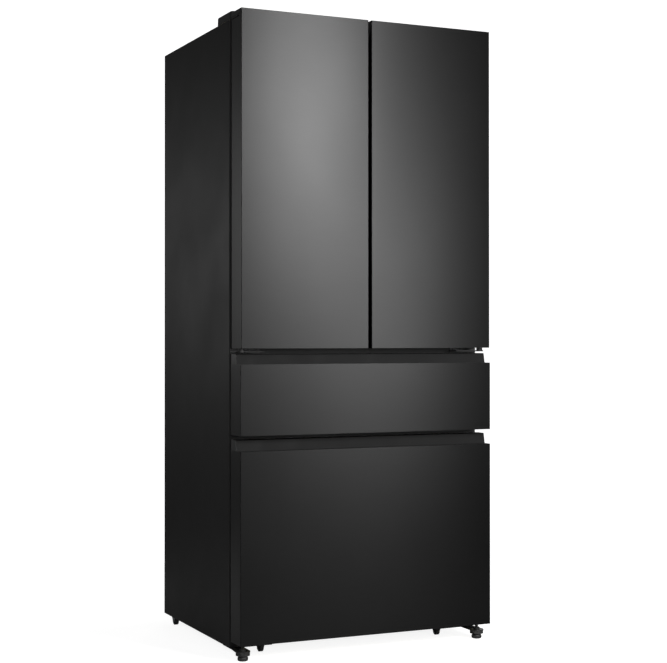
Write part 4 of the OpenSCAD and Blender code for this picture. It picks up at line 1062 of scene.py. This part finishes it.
# Pan head with a cross recess, pointing along an axis
def screwHead(radius, height, direction):
    bm = bmesh.new()
    lathe(bm, (0, 0, 0), "z", [(u * radius, v * height) for u, v in screwMake["head"]], 32)
    wide, reach = screwMake["slotHalf"] * radius, screwMake["slotReach"] * radius
    floor = screwMake["floor"] * height
    carve(bm, [((-a, -b, floor), (a, b, height)) for a, b in ((reach, wide), (wide, reach))])
    turn = Vector((0, 0, 1)).rotation_difference(Vector(direction)).to_matrix()
    bmesh.ops.rotate(bm, verts=bm.verts, cent=(0, 0, 0), matrix=turn)
    return bm


# One piece per kind of screw, with the heads on the places of the CAD screws
def screws():
    kinds = {}
    for low, high in solidsOf("cabinet_screws"):
        size = high - low
        if size.z < size.x * screwMake["flat"]:
            kind = ("roof-screws", (0, 0, 1), size.z, "slide")
        elif low.y < 0:
            kind = ("hinge-screws", (0, -1, 0), size.y, "bracket")
        else:
            kind = ("rear-screws", (0, 1, 0), size.y, "slide")
        kinds.setdefault(kind, []).append((low, high))
    for (name, direction, height, finish), boxes in kinds.items():
        radius = (boxes[0][1].x - boxes[0][0].x) / 2
        heads = onSpots(screwHead(radius, height, direction), [(low + high) / 2 for low, high in boxes])
        makePiece(name, heads, finish, "cabinet", "cabinet_screws")


rearPanel()
machineCover()
screws()
print("back made")


# cooling

coilMake = metres({"tube": 4, "collar": [(2, 0), (1.4, 0.5), (1.1, 3)], "collarSink": 0.2,
                   "plateEdge": 0.5, "finEdge": 0.25}, bulge=0.55, bendSteps=10)


# Half ring between two tubes, bulging out along X
def returnBend(bm, x, way, y, z0, z1, radius):
    reach, rings = (z1 - z0) / 2, []
    for out, up in arc(0, 0, 1, -90, 90, coilMake.bendSteps):
        centre = Vector((x + coilMake.bulge * reach * way * out, y, (z0 + z1) / 2 + reach * up))
        rings.append([centre + Vector((way * out * u, v, up * u)) for u, v in circle(0, 0, radius, 20)])
    loft(bm, rings)


# Finned coil: stamped fins with collars, end plates, tubes and their return bends
def finnedCoil(node, finish):
    boxes, (boxLow, boxHigh) = solidsOf(node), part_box(node)
    half, radius = (boxHigh.x - boxLow.x) / 2, coilMake.tube
    tubes = sorted([b for b in boxes if b[1].x - b[0].x > half], key=lambda b: b[0].z)
    plates = sorted([b for b in boxes if b[1].x - b[0].x < half], key=lambda b: b[0].x)
    fins = plates[1:-1]
    low, high = fins[0]
    bm = roundBlocks([plates[0], plates[-1]], coilMake.plateEdge, 2)
    fin, pipes = roundBlocks([(low, high)], coilMake.finEdge, 1), bmesh.new()
    for tubeLow, tubeHigh in tubes:
        y, z = (tubeLow.y + tubeHigh.y) / 2, (tubeLow.z + tubeHigh.z) / 2
        lathe(fin, (high.x - coilMake.collarSink, y, z), "x",
              [(radius + u, v) for u, v in coilMake.collar], 24)
        lathe(pipes, (tubeLow.x, y, z), "x", [(radius, 0), (radius, tubeHigh.x - tubeLow.x)], 24)
    addTo(bm, repeated(fin, len(fins), ((fins[-1][0].x - low.x) / (len(fins) - 1), 0, 0)))
    makePiece(node + "-fins", bm, finish, "cabinet", node)
    for k, (a, b) in enumerate(zip(tubes, tubes[1:])):
        way, x = (1, a[1].x) if k % 2 == 0 else (-1, a[0].x)
        returnBend(pipes, x, way, (a[0].y + a[1].y) / 2, (a[0].z + a[1].z) / 2, (b[0].z + b[1].z) / 2, radius)
    makePiece(node + "-tubes", pipes, finish, "cabinet", node)


compressorMake = metres({
    "dome": 34, "seat": 30, "flange": 3, "flangeHeight": 4, "tip": 0.5, "plateRise": 13, "plateOut": 12,
    "plateHalf": 50, "plate": 4, "edge": 1.6, "boxSink": 6, "boxHalf": 24, "boxFoot": 39, "boxTop": 99,
    "lugApart": 18, "lugRise": 40, "lug": [(5, 0), (5, 3)], "footOut": 2, "footApart": 40,
    "foot": [(8, 0), (9, 1), (9, 3), (7, 4.5), (9, 6), (9, 9), (6, 9.5)], "stubSink": 2, "stubRise": 22,
    "stub": [(4, -1), (4, 26), (3.2, 27), (1.5, 27.4)], "stubRoot": [(4, -6), (4, 3)],
    "shell": [(6, -1), (1.5, 3)], "seamInset": 1.2, "neckInset": 0.8, "neckRise": 1,
}, seamShare=0.46, lugShare=0.7, stubTurns=(150, 180, 210))


# Hermetic compressor: two drawn shells welded at a flange, on a base plate with rubber feet
def compressor():
    (low, high), (trayLow, trayHigh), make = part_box("compressor"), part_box("drip_tray"), compressorMake
    x, y = (trayLow.x + trayHigh.x) / 2, (trayLow.y + trayHigh.y) / 2
    plateTop, radius, dome, seat = low.z + make.plateRise, x - low.x - make.plateOut, make.dome, make.seat
    shoulder = high.z - dome
    seam = plateTop + (shoulder - plateTop) * make.seamShare
    lid, out = seam + make.flangeHeight, radius + make.flange
    profile = [(radius - u, plateTop + v) for u, v in make.shell]
    profile += [(radius - make.seamInset, seam), (out, seam), (out, lid),
                (radius - make.neckInset, lid + make.neckRise), (radius, shoulder)]
    profile += [(seat + (radius - seat) * u, shoulder + dome * v) for u, v in arc(0, 0, 1, 0, 90, 8, 1)]
    bm, feet, stubs = bmesh.new(), bmesh.new(), bmesh.new()
    lathe(bm, (x, y, 0), "z", profile + [(make.tip, high.z)], 72)
    deep, half = make.plateHalf, make.boxHalf
    addTo(bm, roundBlocks([
        ((low.x, y - deep, plateTop - make.plate), (x + radius + make.plateOut, y + deep, plateTop)),
        ((x + radius - make.boxSink, y - half, plateTop + make.boxFoot),
         (high.x, y + half, plateTop + make.boxTop))], make.edge))
    for way in (-1, 1):
        lathe(bm, (x - radius * make.lugShare, y + way * make.lugApart, seam + make.lugRise), "z",
              make.lug, 24)
        for wayY in (-1, 1):
            lathe(feet, (x + way * (radius + make.footOut), y + wayY * make.footApart, low.z), "z",
                  make.foot, 32)
    for turn in make.stubTurns:
        spot = arc(x, y, radius - make.stubSink, turn, turn, 1)[0] + (seam + make.stubRise,)
        lathe(stubs, spot, "z", make.stub, 20)
        lathe(stubs, spot, "x", make.stubRoot, 20)
    for name, mesh, finish in (("shell", bm, "enamel"), ("feet", feet, "rubber"), ("stubs", stubs, "copper")):
        makePiece("compressor-" + name, mesh, finish, "cabinet", "compressor")


dripMake = metres({"corner": 12, "wall": 2, "draft": 3, "lip": 3, "lipHeight": 5, "edge": 0.9,
                   "floorRadius": 4, "floorStep": 1.2, "hook": [(0.7, 0.5), (0, 1.4)]})


def dripTray():
    bm = bmesh.new()
    tray(bm, *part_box("drip_tray"), dripMake.corner, dripMake)
    standFor("drip_tray", bm, "trim")


fanMake = metres({"hub": 14, "bore": 2.35, "endGap": 0.6, "face": 5, "dome": [(1.5, 2.5), (0, 6)],
                  "backEdge": 1, "bladeSink": 1.5, "thick": 1}, blades=5, stations=7,
                 pitch=(40, 24), chord=(16, 24), roundFrom=0.8, rounding=2.2,
                 section=[(-0.5, 0), (-0.25, 0.9), (0.1, 1), (0.35, 0.6), (0.5, 0), (0.3, -0.3), (0, -0.5),
                          (-0.3, -0.3)])  # shares of the chord and of the thickness


# Axial fan: domed hub and twisted blades with a rounded outline
def evaporatorFan():
    low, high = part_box("evaporator_fan")
    make = fanMake
    hub, bore, edge = make.hub, make.bore, make.backEdge
    near, back = low.y + make.endGap, high.y - make.endGap
    x, z, root = (low.x + high.x) / 2, (low.z + high.z) / 2, hub - make.bladeSink
    length = max(high.x - low.x, high.z - low.z) / 2 - root
    bm = bmesh.new()
    lathe(bm, (x, 0, z), "y", [(bore, near), (hub - make.face, near)]
          + [(hub - u, near + v) for u, v in make.dome]
          + [(hub, back - edge), (hub - edge, back), (bore, back)], closed=True)
    middle = Vector((x, (near + back) / 2, z))
    (pitch0, pitch1), (chord0, chord1) = make.pitch, make.chord
    for blade in range(make.blades):
        turn = Matrix.Rotation(2 * math.pi * blade / make.blades, 3, "Y")
        rings = []
        for k in range(make.stations):
            t = k / (make.stations - 1)
            pitch = math.radians(pitch0 + (pitch1 - pitch0) * t)
            chord = (chord0 + (chord1 - chord0) * t) * mm
            chord *= 1 - make.rounding * max(t - make.roundFrom, 0)
            lean = Matrix.Rotation(-pitch, 3, "X")
            rings.append([middle + turn @ (Vector((root + length * t, 0, 0))
                                           + lean @ Vector((0, v * make.thick, u * chord)))
                          for u, v in make.section])
        loft(bm, rings)
    standFor("evaporator_fan", bm, "dark")


# The blade's section is given as (depth, share of the slot's height)
ductMake = metres({"slotStep": 16, "slotUp": 90, "slotHeight": 6, "slotInset": 20, "over": 1}, slots=3,
                  blade=[(0.4, 0.25), (0.4, 0.45), (7, 0.95), (7, 0.75)])


# Cover of the cold-air duct, with a slanted blade in each of its outlets
def airDuctCover():
    softened("air_duct_cover", "liner", 1.0, 3)
    (low, high), make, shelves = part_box("air_duct_cover"), ductMake, shelfHeights()
    inset = make.slotInset - make.over
    bm = bmesh.new()
    for k in range(make.slots):
        z = shelves[0] + make.slotUp + k * make.slotStep
        acrossWidth(bm, [(low.y + u * mm, z + v * make.slotHeight) for u, v in make.blade],
                    low.x + inset, high.x - inset)
    bm = repeated(bm, len(shelves), (0, 0, shelves[1] - shelves[0]))
    makePiece("air-duct-blades", bm, "liner", "cabinet")


lampMake = metres({"prismRise": 0.5, "edge": 2, "corner": 6, "face": [(2, 0.4), (0.6, 1), (0, 2)]},
                  prisms=30)


# Lamp lens: an opal bar with a row of prisms moulded on its face
def lampLens():
    low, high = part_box("lamp_lens")
    margin, foot = 2 * lampMake.edge, low.z + lampMake.prismRise
    bm, prism = bmesh.new(), bmesh.new()
    profile = [(u, low.z + v) for u, v in lampMake.face] + [(0, high.z)]
    loft(bm, floorRings(low, high, lampMake.corner, profile))
    x, step = low.x + margin, (high.x - low.x - 2 * margin) / lampMake.prisms
    loft(prism, [[(x, y, foot), (x + step / 2, y, low.z), (x + step, y, foot)]
                 for y in (low.y + margin, high.y - margin)])
    addTo(bm, repeated(prism, lampMake.prisms, (step, 0, 0)))
    standFor("lamp_lens", bm, "lens")


finnedCoil("evaporator", "fins")
finnedCoil("condenser", "enamel")
compressor()
dripTray()
evaporatorFan()
airDuctCover()
lampLens()
print("cooling made")


# drawers

drawerMake = metres({"plugCorner": 12, "plugEdge": 3, "plateEdge": 0.6, "sink": 1, "sideGap": 48,
                     "endGap": 14, "pan": [(22, 0), (26, 2), (30, 2)]})


# Inner face of a drawer front: a plate with a hollow plug that is rounded at its edges
def drawerLiner(body):
    node, make = body + "_liner", drawerMake
    (low, high), (sealLow, sealHigh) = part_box(node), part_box(body + "_gasket")
    bays = solidsOf("drawer_bay_liners")
    bay = next(b for b in bays if low.z < b[0].z < high.z) if body == "middle_drawer" else bays[0]
    half, edge = sealHigh.x - make.sideGap, make.plugEdge
    inset = panelMake.sheet + panelMake.linerGap
    plate = ((low.x + inset, low.y, low.z), (high.x - inset, sealLow.y, high.z))
    bm = roundBlocks([plate], make.plateEdge, 2)
    profile = [(0, sealLow.y - make.sink), (0, high.y - edge)] + arc(edge, high.y - edge, edge, 180, 90, 5, 1)
    profile += [(u, high.y - v) for u, v in make.pan]
    plug = bmesh.new()
    loft(plug, frontRings((-half, 0, bay[0].z + make.endGap), (half, 0, bay[1].z - make.endGap),
                          make.plugCorner, profile, 8))
    addTo(bm, plug)
    standFor(node, bm, "liner")


for body in ("middle_drawer", "bottom_drawer"):
    drawerLiner(body)
print("drawers made")


# Pressed, drawn and moulded parts that keep the CAD's form: finish, how far the edges are broken in
# millimetres, and the CAD nodes
brokenEdges = [
    ("dark", 0.5, ["left_door_caps", "right_door_caps"]),
    ("bracket", 0.5, ["door_hinges"]),
    ("bracket", 0.4, ["base_brackets"]),
    ("zinc", 0.3, ["base_pan"]),
    ("trim", 1.0, ["mullion_guide", "flip_mullion"]),
    ("slide", 0.25, ["outer_slides", "middle_slide_links", "bottom_slide_links"]),
    ("slide", 0.3, ["middle_drawer_runners", "bottom_drawer_runners"]),
    ("clear", 0.8, ["middle_tub", "bottom_tub", "sliding_tray"]),
    ("liner", 0.4, ["evaporator_cover"]),
    ("dark", 0.5, ["mains_inlet"]),
    ("liner", 0.6, ["drawer_bay_liners"]),
]
for finish, edge, nodes in brokenEdges:
    for node in nodes:
        softened(node, finish, edge)
print("edges broken")

slotFinish = {"side_steel": "sideSteel", "front_steel": "frontSteel", "bare_steel": "zinc",
              "bracket_steel": "bracket", "foam": "foam", "liner_plastic": "liner", "trim_plastic": "trim",
              "clear_plastic": "clear", "shelf_glass": "glass", "dark_plastic": "dark", "gasket": "gasket",
              "slide_steel": "slide", "coil_aluminium": "fins", "compressor_paint": "enamel", "lens": "lens"}


# Every CAD node, shown or not, takes the finish of its material slot
def dressNodes():
    for node in frame["record"]["subparts"]:
        mesh = frame["nodes"][node["node"]].data
        mesh.materials.clear()
        mesh.materials.append(finishes[slotFinish[node["material_slot"]]])


dressNodes()
print("CAD nodes dressed")
